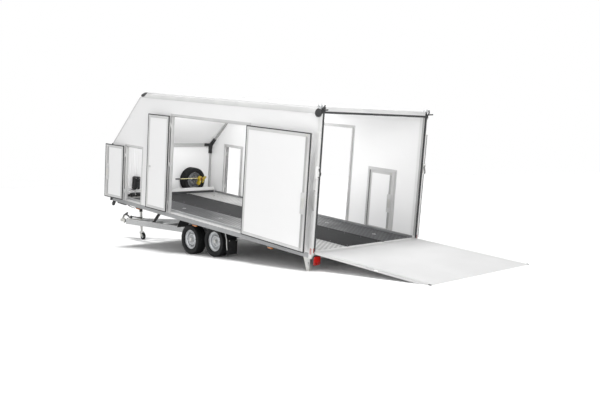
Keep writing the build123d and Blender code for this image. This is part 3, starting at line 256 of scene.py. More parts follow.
film_gloss = add_node(plywood, "MapRange", {"Value": scuff, "To Min": 0.5, "To Max": 0.62})
relief = add_node(plywood, "Bump", {"Height": wires, "Distance": 0.0005})
film_shader = add_node(plywood, "BsdfPrincipled",
                       {"Base Color": film, "Roughness": film_gloss, "Normal": relief,
                        "Specular IOR Level": 0.02})
add_node(plywood, "OutputMaterial", {"Surface": film_shader})

# %% [markdown]
# The planks of the tracks have a grip pattern: staggered lozenges are pressed into the aluminium, 75 mm
# apart along the plank and 110 mm across it, and are drawn darker. The mill skin between them carries
# smudges. Painted shade darkens it, with a duller gloss, where (x + 0.4) times y is high, at the left front
# and the right rear, and it stays bright at the other two ends.

# %% Grip planks
LOZENGE = (0.075, 0.11)
mill_plank, place = blank("mill-finish grip plank")
axes = add_node(mill_plank, "SeparateXYZ", {"Vector": place})
lozenges = []
for shift in (0.0, 0.5):
    reaches = []
    for axis, pitch in enumerate(LOZENGE):
        step = axes.outputs[axis]
        for operation, others in (("MULTIPLY_ADD", {1: 1 / pitch, 2: shift}), ("FRACT", {}),
                                  ("SUBTRACT", {1: 0.5}), ("ABSOLUTE", {})):
            step = add_node(mill_plank, "Math", {0: step, **others}, operation=operation)
        reaches.append(step)
    sum_of_reaches = add_node(mill_plank, "Math", {0: reaches[0], 1: reaches[1]}, operation="ADD")
    lozenges.append(add_node(mill_plank, "MapRange",
                             {"Value": sum_of_reaches, "From Min": 0.3, "From Max": 0.24}))
lozenge = add_node(mill_plank, "Math", {0: lozenges[0], 1: lozenges[1]}, operation="MAXIMUM")
# Painted shade: the skin darkens where (x + 0.4) times y is high, standing for light that falls off inside
# the box.
forward = add_node(mill_plank, "Math", {0: axes.outputs[0], 1: 0.4}, operation="ADD")
painted_shade_slope = add_node(mill_plank, "Math", {0: forward, 1: axes.outputs[1]}, operation="MULTIPLY")
along = add_node(mill_plank, "MapRange", {"Value": painted_shade_slope, "From Min": -1.2, "From Max": 1.1})
smudges = add_node(mill_plank, "TexNoise", {"Vector": place, "Scale": 3.5, "Detail": 5.0})
smudge_and_painted_shade = add_node(mill_plank, "Math", {0: smudges.outputs["Fac"], 1: 0.35, 2: along},
                operation="MULTIPLY_ADD", use_clamp=True)
skin_with_painted_shade = add_node(mill_plank, "MixRGB",
                      {"Fac": smudge_and_painted_shade, "Color1": linear("#E2E2E1"), "Color2": linear("#565759")})
lozenge_darkening = add_node(mill_plank, "Math", {0: lozenge, 1: 0.55}, operation="MULTIPLY")
plank_colour = add_node(mill_plank, "MixRGB",
                        {"Fac": lozenge_darkening, "Color1": skin_with_painted_shade, "Color2": linear("#2C2C2C")})
plank_gloss = add_node(mill_plank, "MapRange", {"Value": smudge_and_painted_shade, "To Min": 0.42, "To Max": 0.56})
relief = add_node(mill_plank, "Bump", {"Height": lozenge, "Distance": 0.0015}, invert=True)
plank_metal = add_node(mill_plank, "BsdfPrincipled",
                       {"Base Color": plank_colour, "Roughness": plank_gloss, "Normal": relief,
                        "Metallic": 0.55})
add_node(mill_plank, "OutputMaterial", {"Surface": plank_metal})

# %% [markdown]
# ## Plastics, rubber and lacquers
# Corner caps and mudguards are moulded polypropylene with a leather-like grain. Seals are EPDM rubber,
# matt and even. Tyres are darker with a bloom of dust. The rims are silver lacquer over pressed steel,
# and hydraulic parts are black powder coat, whose surface is pebbled like an orange. The ramp's board has
# a skin of white resin with grit in it.

# %% Moulded, cast and lacquered finishes
polypropylene = worn("grained polypropylene", ("#222324", "#2E2F30"), (0.45, 0.6), 0.2, (0.003, 0.0002))
seal_rubber = worn("EPDM seal rubber", ("#333435", "#404142"), (0.6, 0.75), 0.2, (0.004, 0.0001))
tyre_rubber = worn("tyre rubber", ("#141516", "#212223"), (0.6, 0.8), 0.15, (0.004, 0.0002),
                   Specular_IOR_Level=0.3)
rim_lacquer = worn("silver rim lacquer", ("#B4B6B8", "#C6C8CA"), (0.26, 0.34), 0.2, (0.004, 0.00006),
                   Metallic=0.6, Coat_Weight=0.4)
# Painted shade: the spare wheel's rim inside the box is a much darker copy of the rim lacquer.
rim_lacquer_painted_shade = worn("silver rim lacquer, painted shade", ("#6C6E70", "#86888A"), (0.34, 0.46), 0.06, (0.004, 0.00006),
                  Metallic=0.4)
powder_coat = worn("black powder coat", ("#1B1C1D", "#272829"), (0.35, 0.5), 0.2, (0.002, 0.0001))
yellow_enamel = worn("yellow enamel", ("#97800F", "#B39A1E"), (0.28, 0.42), 0.1, (0.004, 0.0001),
                     Coat_Weight=0.3)
pawl_red = worn("dark red enamel", ("#6A1F16", "#7E2C20"), (0.3, 0.42), 0.1, (0.004, 0.0001))
cream_paint = worn("cream lever paint", ("#D9D09A", "#E6DEAE"), (0.3, 0.42), 0.1, (0.004, 0.0001))
white_nylon = worn("white moulded nylon", ("#ECECEB", "#F4F4F3"), (0.35, 0.45), 0.05, (0.003, 0.0001))
ramp_skin = worn("grit-coated ramp board", ("#C8C8C8", "#CDCDCD"), (0.6, 0.75), 0.5, (0.004, 0.0003),
                 Specular_IOR_Level=0.1)

# %% [markdown]
# ## Lenses
# A lamp's lens is clear coloured acrylic, moulded with small prisms on the inside, so it is smooth to the
# touch but glitters in cells 6 mm across. The cells are bumped, and each is painted lighter towards its
# edges as a painted glint.


# %% Lens finishes
def lens(name, colour, glint_colour, cell=0.006):
    """Coloured acrylic: glossy and partly clear, with a bump of small square prisms of a size in metres."""
    material, place = blank(name)
    prisms = add_node(material, "TexVoronoi", {"Vector": place, "Scale": 1 / cell, "Randomness": 0.0},
                      distance="CHEBYCHEV")
    relief = add_node(material, "Bump", {"Height": prisms.outputs["Distance"], "Distance": 0.0008})
    # Painted glint: each prism cell is drawn lighter towards its edges.
    colour_with_painted_glint = add_node(material, "MixRGB", {"Fac": prisms.outputs["Distance"], "Color1": linear(colour),
                                         "Color2": linear(glint_colour)})
    glass = add_node(material, "BsdfPrincipled",
                     {"Base Color": colour_with_painted_glint, "Roughness": 0.1, "Normal": relief, "IOR": 1.49,
                      "Coat Weight": 0.6})
    add_node(material, "OutputMaterial", {"Surface": glass})
    return material


red_lens = lens("red acrylic lens", "#B80E08", "#D8221A")
amber_lens = lens("amber acrylic lens", "#B8651C", "#D08A48")
dark_lens = lens("dark red acrylic lens", "#8A1812", "#A82A22", 0.004)
reflex_lens = lens("red reflex lens", "#C08E8B", "#D4AEAB", 0.004)

# %% [markdown]
# ## Which node has which finish
# Each CAD node keeps its shape and gets a finish. Most follow from the record's own material slots.

# %% Finishes of the CAD nodes
FINISH_OF_SLOT = {"white_panel": gelcoat, "aluminium_profile": anodised_along,
                  "aluminium_plank": mill_plank, "dark_floor": plywood, "galvanised": galvanised,
                  "zinc_plate": zinc_plate, "black_plastic": polypropylene, "tyre": tyre_rubber,
                  "rim": rim_lacquer, "chrome_rod": chrome_rod, "black_paint": powder_coat,
                  "lamp": red_lens, "amber_lamp": amber_lens, "yellow_paint": yellow_enamel,}
SLOT_OF_FINISH = {finish.name: slot for slot, finish in FINISH_OF_SLOT.items()}
for slot, finishes in (("aluminium_profile", (anodised_up, anodised_dark)),
                       ("black_plastic", (seal_rubber,)), ("lamp", (dark_lens, reflex_lens)),
                       ("zinc_plate", (cast_aluminium,)), ("yellow_paint", (pawl_red, cream_paint))):
    SLOT_OF_FINISH.update((finish.name, slot) for finish in finishes)
FINISH_OF_NODE = {"rear_frame": anodised_up, "ramp_panel": ramp_skin, "side_rails": anodised_rail_painted_shade,
                  "door_frames": anodised_door, "rear_hatch_frames": anodised_door, "rear_feet": zinc_plate,
                  "jockey_wheel": tyre_rubber, "spare_rim": rim_lacquer_painted_shade, "inner_profiles": anodised_dark,
                  "kick_board": anodised_up}
for part in frame["record"]["subparts"]:
    name = part["node"]
    finish = FINISH_OF_NODE.get(name, FINISH_OF_SLOT[part["material_slot"]])
    if name.startswith(("left_", "right_")) and name.endswith("_frame"):
        finish = anodised_door
    NODES[name].data.materials.clear()
    NODES[name].data.materials.append(finish)

# %% [markdown]
# ## Ways to make small parts
# Every added part is a grid of points worked out in one go: a profile carried along a path, a profile
# turned about an axis, or a rounded outline stepped inwards from level to level. A part is a pair of
# points and faces, so parts can be placed, repeated and joined before they become one object.


# %% Helpers for surfaces
def surface(points, ring_rows=False, ring_columns=False, capped=False):
    """Part made of quads between neighbours of an (n, m, 3) grid of points.

    Rows or columns may close into a ring; first and last row may be capped with one face each.
    """
    rows, columns = points.shape[:2]
    i, j = np.meshgrid(np.arange(rows - (not ring_rows)), np.arange(columns - (not ring_columns)),
                       indexing="ij")
    below, beside = (i + 1) % rows, (j + 1) % columns
    corners = (i * columns + j, i * columns + beside, below * columns + beside, below * columns + j)
    faces = np.stack(corners, -1).reshape(-1, 4).tolist()
    if capped:
        faces += [list(range(columns))[::-1], list(range((rows - 1) * columns, rows * columns))]
    return points.reshape(-1, 3), faces


def turned(profile, steps=24, place=None):
    """Part turned about local z: (r cos a, r sin a, h) for each (r, h) of an open profile."""
    r, h = np.array(profile, float).T[:, :, None]
    a = np.linspace(0, 2 * np.pi, steps, endpoint=False)
    points = np.stack((r * np.cos(a), r * np.sin(a), h + 0 * a), -1)
    points, faces = surface(points, ring_columns=True, capped=True)
    return (points if place is None else put(points, place)), faces


def carried(profile, path, up=(0, 0, 1), closed=False, place=None):
    """Part whose profile of (sideways, up) points follows a path, with mitred corners.

    Sideways is the path's direction crossed with up, and grows by 1 / cos(half the turn) at a corner.
    """
    path, up = np.array(path, float), np.array(up, float)
    ahead = np.roll(path, -1, 0) - path
    behind = path - np.roll(path, 1, 0)
    if not closed:
        ahead[-1], behind[0] = behind[-1], ahead[0]
    ahead /= np.linalg.norm(ahead, axis=1, keepdims=True)
    behind /= np.linalg.norm(behind, axis=1, keepdims=True)
    tangent = ahead + behind
    tangent /= np.linalg.norm(tangent, axis=1, keepdims=True)
    sideways = np.cross(tangent, up)
    sideways /= np.linalg.norm(sideways, axis=1, keepdims=True)
    upwards = np.cross(sideways, tangent)
    mitre = 1 / np.maximum((tangent * ahead).sum(1), 0.3)
    in_plane = np.abs((np.cross(behind, ahead) * upwards).sum(1)) > 1e-6
    wide, high = np.where(in_plane, mitre, 1), np.where(in_plane, 1, mitre)
    across, rise = np.array(profile, float).T
    points = (path[:, None] + (sideways * wide[:, None])[:, None] * across[None, :, None]
              + (upwards * high[:, None])[:, None] * rise[None, :, None])
    points, faces = surface(points, ring_rows=closed, ring_columns=True, capped=not closed)
    return (points if place is None else put(points, place)), faces


def ring(radius, steps=12):
    """Circle as a profile: (r cos a, r sin a)."""
    a = np.linspace(0, 2 * np.pi, steps, endpoint=False)
    return np.stack((radius * np.cos(a), radius * np.sin(a)), -1)


def rounded(width, height, radius, steps=4):
    """Rounded rectangle about the origin: a corner's centre plus r (cos a, sin a) over a quarter turn."""
    quarter = np.linspace(0, np.pi / 2, steps)
    corners = []
    for turn, sign in enumerate(((1, 1), (-1, 1), (-1, -1), (1, -1))):
        a = quarter + turn * np.pi / 2
        centre = np.array((sign[0] * (width / 2 - radius), sign[1] * (height / 2 - radius)))
        corners.append(centre + radius * np.stack((np.cos(a), np.sin(a)), -1))
    return np.concatenate(corners)


def slab(width, height, radius, levels, place=None):
    """Rounded block: for each (inset, z) level the outline lies inset at height z; both ends are closed."""
    rows = []
    for inset, z in levels:
        flat = rounded(width - 2 * inset, height - 2 * inset, max(radius - inset, 0.0004))
        rows.append(np.column_stack((flat, np.full(len(flat), z))))
    points, faces = surface(np.array(rows), ring_columns=True, capped=True)
    return (points if place is None else put(points, place)), faces


def placed(part, place):
    """The part moved from a place's local coordinates to the shared frame."""
    return put(part[0], place), part[1]


def shifted(part, offset):
    """The part moved by an offset."""
    return part[0] + np.asarray(offset, float), part[1]


def repeated(part, offsets):
    """Copies of a part, one moved by each offset of an (n, 3) array."""
    points, faces = part
    offsets = np.asarray(offsets, float)
    moved = (points[None] + offsets[:, None]).reshape(-1, 3)
    return moved, [[index + copy * len(points) for index in face] for copy in range(len(offsets))
                   for face in faces]


def joined(*parts):
    """Several parts as one."""
    points, faces, start = [], [], 0
    for part_points, part_faces in parts:
        points.append(part_points)
        faces += [[index + start for index in face] for face in part_faces]
        start += len(part_points)
    return np.concatenate(points), faces


def mirrored(*parts):
    """Several parts as one, with their mirror image on the trailer's other side."""
    points, faces = joined(*parts)
    return joined((points, faces), (points * (1, -1, 1), [face[::-1] for face in faces]))


def fixed(part, spot, out, up=(0, 0, 1)):
    """The part at a spot of the box, its local z looking out and its local y going up."""
    return placed(part, facing(BOX, spot, out, up))


CREASE = 35


def make_piece(name, finish, *parts, body="box", slot=None):
    """Object made of parts, with outward faces, that moves with a body and carries its finish.

    Edges that turn by more than the crease, in degrees, are drawn sharp. The slot argument is not used.
    """
    points, faces = joined(*parts)
    mesh = bpy.data.meshes.new(name)
    mesh.from_pydata(points.tolist(), [], faces)
    shape = bmesh.new()
    shape.from_mesh(mesh)
    bmesh.ops.remove_doubles(shape, verts=shape.verts, dist=1e-5)
    bmesh.ops.dissolve_degenerate(shape, edges=shape.edges, dist=1e-6)
    bmesh.ops.recalc_face_normals(shape, faces=shape.faces)
    shape.to_mesh(mesh)
    shape.free()
    mesh.shade_smooth()
    mesh.set_sharp_from_angle(angle=float(np.radians(CREASE)))
    mesh.materials.append(finish)
    piece = bpy.data.objects.new(name, mesh)
    scene.collection.objects.link(piece)
    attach(piece, body)
    print(name, len(faces), "faces on", body)
    return piece


# %% [markdown]
# ## Tyres and wheels
# A trailer tyre has a flat tread with long grooves, and oblique cuts that divide its outer ribs into
# blocks. Its walls bulge out beside the rim, with a rim guard rib and fine moulded rings. Four stand on
# the road and the fifth is the spare wheel at the front of the load box.

# %% Tyres
TYRE_RADIUS = 0.2625
PITCHES = 60
GROOVE_DEPTH = 0.007
CROWN_DROP, HALF_TREAD = 0.0035, 0.084
CUT_SLANT, CUT_SHARE = 0.9, 0.8
TREAD_ROWS = np.array((-84, -79, -61.5, -60.5, -54.5, -53.5, -23, -22, -15, -14, 14, 15, 22, 23, 53.5, 54.5,
                       60.5, 61.5, 79, 84)) / 1000
WALL = np.array(((88, 257), (92.5, 249), (95.2, 241), (95.8, 239), (95.0, 238), (96.6, 226), (97.4, 216),
                 (96.4, 214.6), (97.2, 213), (95.6, 199), (92, 188), (88, 182), (84, 180.5), (79.5, 181.5),
                 (77.5, 177.5), (71.5, 177), (71, 166.5))) / 1000


def tyre():
    """Grid over angle a and section s: the tread's radius is R - drop (w / W) squared less the grooves.

    Each tread pitch has five angles, the second and third of them at the bottom of a cut.
    """
    shares = np.array((0.0, 0.03, 0.14, 0.17, 0.58))
    a = ((np.arange(PITCHES)[:, None] + shares) * 2 * np.pi / PITCHES).ravel()
    cut = np.tile(np.array((0, 1, 1, 0, 0)), PITCHES)
    w = TREAD_ROWS
    crown = TYRE_RADIUS - CROWN_DROP * (w / HALF_TREAD) ** 2
    grooved = np.zeros(len(w))
    grooved[[3, 4, 7, 8, 11, 12, 15, 16]] = GROOVE_DEPTH
    ribs = np.array((0.7, 1, 1, 1, 1, 0.6, 0.6, 1, 1, 0, 0, 1, 1, 0.6, 0.6, 1, 1, 1, 1, 0.7)) * GROOVE_DEPTH
    tread_r = crown - np.maximum(grooved, cut[:, None] * ribs * CUT_SHARE)
    slant = CUT_SLANT * w / HALF_TREAD * 2 * np.pi / PITCHES
    left = WALL[::-1] * (-1, 1)
    r = np.concatenate((np.tile(left[:, 1], (len(a), 1)), tread_r, np.tile(WALL[:, 1], (len(a), 1))), 1)
    z = np.concatenate((left[:, 0], w, WALL[:, 0]))
    turn = a[:, None] + np.concatenate((np.full(len(left), slant[0]), slant, np.full(len(WALL), slant[-1])))
    return surface(np.stack((r * np.cos(turn), r * np.sin(turn), z + 0 * r), -1), True, True)


WHEEL_SIDE = 0.9055


def wheel_place(reach, hand):
    """Place at a road wheel's centre, its local z pointing away from the trailer."""
    return facing(CHASSIS, (reach, hand * WHEEL_SIDE, TYRE_RADIUS), (0, hand, 0))


WHEELS = {f"{row}_{side}_wheel": (f"{row}_{side}_tyre", wheel_place(reach, hand))
          for row, reach in (("front", 3.33), ("rear", 2.627))
          for side, hand in (("left", 1), ("right", -1))}
SPARE = facing(BOX, (5.59, -0.635, TYRE_RADIUS), (-1, 0, 0))
tyre_part = tyre()
for body, (node, place) in WHEELS.items():
    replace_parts(make_piece(body + "_tyre_detail", tyre_rubber, placed(tyre_part, place), body=body), node)
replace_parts(make_piece("spare_tyre_detail", tyre_rubber, placed(tyre_part, SPARE)), "spare_tyre")

# %% [markdown]
# The rims are pressed steel. Each is held by five wheel bolts with domed hexagon heads on a 112 mm circle,
# and carries a rubber valve and a clip-on balance weight. The hub has a pressed grease cap.

# %% Wheel hardware
BOLT_CIRCLE = 0.056
bolt_turns = np.arange(5) * 2 * np.pi / 5 + 0.3
bolt_places = np.stack((BOLT_CIRCLE * np.cos(bolt_turns), BOLT_CIRCLE * np.sin(bolt_turns), 0 * bolt_turns),
                       -1)
bolt = joined(turned(((0.0125, 0.0335), (0.0125, 0.0365), (0.0105, 0.038)), 16),
              turned(((0.0098, 0.0375), (0.0098, 0.0465), (0.0082, 0.0495), (0.0055, 0.0505)), 6))
grease_cap = turned(((0.0335, 0.0545), (0.035, 0.0555), (0.035, 0.0575), (0.03, 0.0585), (0.0292, 0.069),
                     (0.0268, 0.0725), (0.02, 0.0745), (0.008, 0.0752)), 32)
weight = shifted(slab(0.034, 0.01, 0.004, ((0, 0.066), (0, 0.0712), (0.0015, 0.0722))), (0, 0.1665, 0))
valve = carried(ring(0.0052, 10), ((0.13, 0, 0.018), (0.128, 0, 0.034), (0.124, 0, 0.052)), (0, 1, 0))
valve_cap = carried(ring(0.0042, 10), ((0.124, 0, 0.0515), (0.1215, 0, 0.064)), (0, 1, 0))
for body, (_, place) in WHEELS.items():
    make_piece(body + "_bolts", zinc_plate, placed(repeated(bolt, bolt_places), place),
               placed(grease_cap, place), placed(weight, place), body=body)
    make_piece(body + "_valve", polypropylene, placed(joined(valve, valve_cap), place), body=body)
make_piece("spare_bolts", zinc_plate, placed(repeated(bolt, bolt_places), SPARE), placed(weight, SPARE))
make_piece("spare_valve", polypropylene, placed(joined(valve, valve_cap), SPARE))

# %% [markdown]
# ## Leaves: seals, locks and screws
# Each side has a pair of wings and a front hatch that stand open, and a rear hatch that is shut. All are
# made alike: an aluminium edge with a rubber seal pressed round it, whose lip lies on the inner face. The
# leaves with a lock have a darker cover strip beside the edge, a pressed lock case inside and a flush
# handle outside. A leaf's own place has its origin on the hinge pin: x runs to the free edge, y up and z
# through the leaf, from its outer face to its inner one.

# %% Leaf places
PIN_SIDE = 1.215
LEAF_LOW = -0.014
EDGE = 0.06
INNER_FACE = 0.045
# Hinge pin, closing hand, swing in degrees, width, top and whether a lock is fitted
LEAVES = {"rear_wing": (1.562, 1, 177.6, 1.495, 1.69, 0.69, True),
          "front_wing": (3.698, -1, 177.6, 0.625, 1.69, 0.75, False),
          "front_hatch": (5.205, -1, 173.0, 0.56, 1.02, 0.48, True),
          "rear_hatch": (1.11, -1, 0.0, 0.56, 1.02, 0.48, True)}


def leaf_place(side, pin_x, hand, swing):
    """Place on a leaf's pin: away = (hand cos s, side sin s), through = (hand sin s, -side cos s)."""
    s = np.radians(swing)
    away = (hand * np.cos(s), side * np.sin(s), 0)
    through = (hand * np.sin(s), -side * np.cos(s), 0)
    return put((pin_x, side * PIN_SIDE, 0), BOX), np.array((away, (0, 0, 1), through)) @ BOX[1]


def on_inner_face(part, x, y, z=INNER_FACE):
    """Part moved to a spot on the inner face of a leaf."""
    return shifted(part, (x, y, z))


def edge_path(low_x, high_x, low_y, high_y, z=0.0):
    """Corners of an upright rectangle, turning to the left seen from positive z."""
    return ((low_x, low_y, z), (high_x, low_y, z), (high_x, high_y, z), (low_x, high_y, z))


# %% Seals, cover strips, locks and screws on every leaf
SEAL = ((0, 0.03), (0.0022, 0.0305), (0.0026, 0.033), (0.0026, 0.044), (0.0012, 0.047), (-0.006, 0.0476),
        (-0.0135, 0.047), (-0.014, 0.0448), (-0.0002, 0.0448))
screw = turned(((0.0046, 0), (0.0044, 0.0012), (0.0034, 0.0024), (0.0016, 0.0029)), 8)
lock_case = joined(slab(0.06, 0.15, 0.01, ((0, 0), (0, 0.0016), (0.002, 0.0026), (0.006, 0.0026),
                                           (0.008, 0.001))),
                   shifted(slab(0.03, 0.092, 0.006, ((0, 0), (0.0006, 0.003), (0.003, 0.004))),
                           (0, 0.016, 0)),
                   shifted(turned(((0.0125, 0), (0.0125, 0.003), (0.0105, 0.004), (0.0075, 0.004),
                                   (0.007, 0.0022)), 20), (0, -0.052, 0)),
                   repeated(screw, ((-0.033, 0.138, 0), (0.033, 0.138, 0), (-0.033, -0.138, 0),
                                    (0.033, -0.138, 0))))
keeper = joined(slab(0.036, 0.03, 0.003, ((0, 0), (0, 0.006), (0.0015, 0.0075))),
                shifted(screw, (0, 0.009, 0.0075)), shifted(screw, (0, -0.009, 0.0075)))
outer_handle = joined(slab(0.05, 0.176, 0.01, ((0, 0), (0, -0.003), (0.003, -0.0045), (0.008, -0.0045),
                                               (0.01, -0.0015))),
                      shifted(slab(0.026, 0.096, 0.008, ((0, 0), (0, -0.005), (0.004, -0.008))),
                              (0, 0.014, 0)),
                      shifted(turned(((0.012, 0), (0.012, -0.005), (0.0095, -0.0065), (0.006, -0.0065)),
                                     20), (0, -0.062, 0)))
for leaf, (pin_x, hand, swing, width, high, lock_height, locked) in LEAVES.items():
    low_x, high_x = 0.003, 0.003 + width
    rise = np.arange(LEAF_LOW + 0.045, high - 0.03, 0.235)
    run = np.arange(low_x + 0.03, high_x - 0.02, 0.235)
    screw_spots = np.array([(x, y, 0) for x in (low_x + 0.022, high_x - 0.022) for y in rise]
                           + [(x, y, 0) for x in run[1:] for y in (LEAF_LOW + 0.022, high - 0.022)])
    lock_x = high_x - 0.08
    strip_x = high_x - EDGE - 0.024
    for side, word in ((1, "left"), (-1, "right")):
        place = leaf_place(side, pin_x, hand, swing)
        body = "box" if leaf == "rear_hatch" else f"{word}_{leaf}"
        title = f"{word}_{leaf}"
        make_piece(title + "_seal", seal_rubber,
                   carried(SEAL, edge_path(low_x, high_x, LEAF_LOW, high), closed=True, place=place),
                   body=body)
        make_piece(title + "_screws", zinc_plate,
                   placed(repeated(screw, screw_spots + (0, 0, INNER_FACE)), place), body=body)
        if locked:
            strip = slab(0.046, high - LEAF_LOW - 2 * EDGE - 0.004, 0.002,
                         ((0, 0), (0, 0.0024), (0.0012, 0.0032)))
            rods = [carried(ring(0.005, 10), ((strip_x, start, 0.0475), (strip_x, end, 0.0475)),
                            place=place)
                    for start, end in ((lock_height + 0.15, high - 0.05),
                                       (LEAF_LOW + 0.05, lock_height - 0.15))]
            middle = (LEAF_LOW + high) / 2
            make_piece(title + "_cover_strip", anodised_dark,
                       placed(on_inner_face(strip, strip_x, middle, 0.0425), place), *rods, body=body)
            make_piece(title + "_lock_detail", zinc_plate,
                       placed(on_inner_face(lock_case, lock_x, lock_height, 0.055), place),
                       placed(on_inner_face(keeper, strip_x, high - 0.035), place),
                       placed(on_inner_face(keeper, strip_x, LEAF_LOW + 0.035), place), body=body)
            make_piece(title + "_handle_detail", polypropylene,
                       placed(shifted(outer_handle, (lock_x, lock_height, 0.005)), place), body=body)

# %% [markdown]
# ## Rear opening
# A bulb seal runs round the opening, and the ramp shuts against it. The posts carry die-formed ribs, a
# hook latch and a grab bar on each side, and reflectors at the foot of each post. A moulded case with two
# short stop pins sits in each upper corner, under a cast knob.

# %% Rear seal, post ribs and header
OPENING_SIDE, OPENING_TOP = 1.165, 1.983
BULB = ((0, -0.007), (0.0105, -0.0078), (0.012, -0.004), (0.0112, 0.012), (0.0015, 0.013), (-0.001, 0.018),
        (-0.0105, 0.02), (-0.0185, 0.016), (-0.02, 0.006), (-0.018, -0.004), (-0.008, -0.0076))
make_piece("rear_opening_seal", seal_rubber,
           carried(np.array(BULB) * (-1, 1),
                   [(0, y, z) for y, z in ((OPENING_SIDE, 0.004), (OPENING_SIDE, OPENING_TOP),
                                           (-OPENING_SIDE, OPENING_TOP), (-OPENING_SIDE, 0.004))],
                   (1, 0, 0), place=BOX))
rib = ((-0.003, 0), (-0.0022, 0.0014), (0.0022, 0.0014), (0.003, 0))
ribs = [carried(rib, ((x, 1.221, -0.095), (x, 1.221, 1.698)), (0, 1, 0), place=BOX)
        for x in (0.006, 0.022, 0.054)]
ribs += [carried(rib, ((0, y, -0.095), (0, y, 2.0)), (-1, 0, 0), place=BOX) for y in (1.18, 1.196)]
ribs += [carried(rib, ((0, 1.12, z), (0, -1.12, z)), (-1, 0, 0), place=BOX) for z in (2.003, 2.028, 2.052)]
make_piece("post_ribs", anodised_up, mirrored(*ribs[:5]), *ribs[5:])

# %% Latches, grab bars and reflectors on the posts
LATCH_HEIGHT, BAR_HEIGHT = 1.141, 0.745
left_face = facing(BOX, (0.002, 1.237, 0), (0, 1, 0))
latch = joined(shifted(slab(0.048, 0.17, 0.007, ((0, -0.036), (0, 0.001), (0.004, 0.004))),
                       (0, LATCH_HEIGHT, 0)),
               shifted(slab(0.024, 0.06, 0.006, ((0, 0.003), (0, 0.006), (0.003, 0.008))),
                       (0, LATCH_HEIGHT, 0)))
make_piece("ramp_latch_covers", white_nylon, mirrored(placed(latch, left_face)), slot="aluminium_profile")
hook = carried(ring(0.007, 10), ((-0.022, 1.214, 1.074), (-0.036, 1.21, 1.076), (-0.046, 1.2, 1.096),
                                 (-0.046, 1.19, 1.128), (-0.036, 1.188, 1.15), (-0.022, 1.196, 1.158),
                                 (-0.022, 1.206, 1.186), (-0.03, 1.21, 1.2)), (0, 1, 0.2), place=BOX)
hook_plate = fixed(shifted(slab(0.03, 0.12, 0.006, ((0, 0), (0, 0.004), (0.0015, 0.0055))),
                           (0, LATCH_HEIGHT, 0.0005)), (0.0, 1.186, 0), (-1, 0, 0))
make_piece("ramp_latch_hooks", powder_coat, mirrored(hook), slot="black_plastic")
make_piece("ramp_latch_plates", zinc_plate, mirrored(hook_plate))
bar_face = facing(BOX, (0.022, 1.231, 0), (0, 1, 0))
grab = joined(shifted(slab(0.024, 0.256, 0.009, ((0, -0.008), (0, 0.001), (0.003, 0.004), (0.006, 0.0046))),
                      (0, BAR_HEIGHT, 0)),
              *[shifted(slab(0.032, 0.026, 0.006, ((0, -0.0095), (0, -0.004), (0.002, -0.003))),
                        (0, BAR_HEIGHT + h, 0)) for h in (-0.136, 0.136)])
make_piece("grab_bars", anodised_dark, mirrored(placed(grab, bar_face)))
reflector = shifted(slab(0.034, 0.09, 0.006, ((0, 0), (0, 0.0035), (0.002, 0.005))), (0, 0.01, 0))
make_piece("post_reflectors", reflex_lens, mirrored(fixed(reflector, (0.02, 1.2205, 0), (0, 1, 0))))
make_piece("rear_reflectors", dark_lens,
           mirrored(fixed(shifted(slab(0.018, 0.07, 0.004, ((0, 0), (0, 0.0035), (0.002, 0.005))),
                                  (0, 0.02, 0)), (0.0, 1.184, 0), (-1, 0, 0))))

# %% Upper corner cases
case = joined(turned(((0.056, -0.03), (0.062, -0.02), (0.062, 0.012), (0.054, 0.022), (0.03, 0.028),
                      (0.006, 0.029)), 28),
              repeated(shifted(turned(((0.006, 0.02), (0.006, 0.029), (0.004, 0.031)), 8), (0.04, 0, 0)),
                       ((0, 0, 0), (-0.08, 0, 0), (-0.04, 0.04, -0.002), (-0.04, -0.04, -0.002))))
stop_pins = joined(carried(ring(0.011, 12), ((-0.004, 1.215, 2.028), (-0.024, 1.2, 2.048),
                                             (-0.032, 1.178, 2.086)), (1, 0, 0), place=BOX),
                   carried(ring(0.01, 12), ((-0.004, 1.204, 2.012), (-0.026, 1.198, 2.018),
                                            (-0.104, 1.194, 2.026)), (0, 0, 1), place=BOX))
make_piece("corner_cases", polypropylene,
           mirrored(fixed(case, (0.06, 1.206, 1.978), (0, 1, 0.1)), stop_pins))
knob = turned(((0.034, -0.03), (0.036, 0.006), (0.035, 0.03), (0.028, 0.044), (0.015, 0.051),
               (0.004, 0.0525)), 24)
make_piece("corner_knobs", cast_aluminium,
           mirrored(fixed(knob, (0.046, 1.19, 2.052), (0, 0.45, 0.9), (-1, 0, 0))))

# %% [markdown]
# ## Ramp
# The ramp's aluminium frame is held together by screws, and rubber buffers close its lower corners. Its
# upper edge carries a grooved cover strip over the hinges, and each side edge has a small white catch.

# %% Ramp fittings
RAMP_SIDE, RAMP_EDGE = 1.175, 0.04
rows = np.arange(-0.16, -2.0, -0.23)
flat_screws = [(x, side * (RAMP_SIDE - RAMP_EDGE / 2), 0) for x in rows for side in (1, -1)]
flat_screws += [(-0.042, y, 0) for y in np.arange(-1.0, 1.01, 0.25)]
make_piece("ramp_screws", zinc_plate,
           placed(repeated(turned(((0.0052, 0), (0.0048, 0.0008), (0.003, 0.0012)), 8), flat_screws), BOX),
           body="ramp")
groove = ((-0.016, 0), (-0.016, 0.0016), (-0.012, 0.0022), (-0.0105, 0.001), (-0.0075, 0.0022),
          (-0.006, 0.001), (-0.003, 0.0022), (-0.0015, 0.001), (0.0015, 0.0022), (0.003, 0.001),
          (0.006, 0.0022), (0.016, 0.0008), (0.016, 0))
make_piece("ramp_edge_strip", anodised_along,
           carried(groove, ((-0.056, 1.165, 0), (-0.056, -1.165, 0)), place=BOX), body="ramp")
buffer = slab(0.046, 0.03, 0.006, ((0, -0.0042), (0, 0.001), (0.002, 0.0026)))
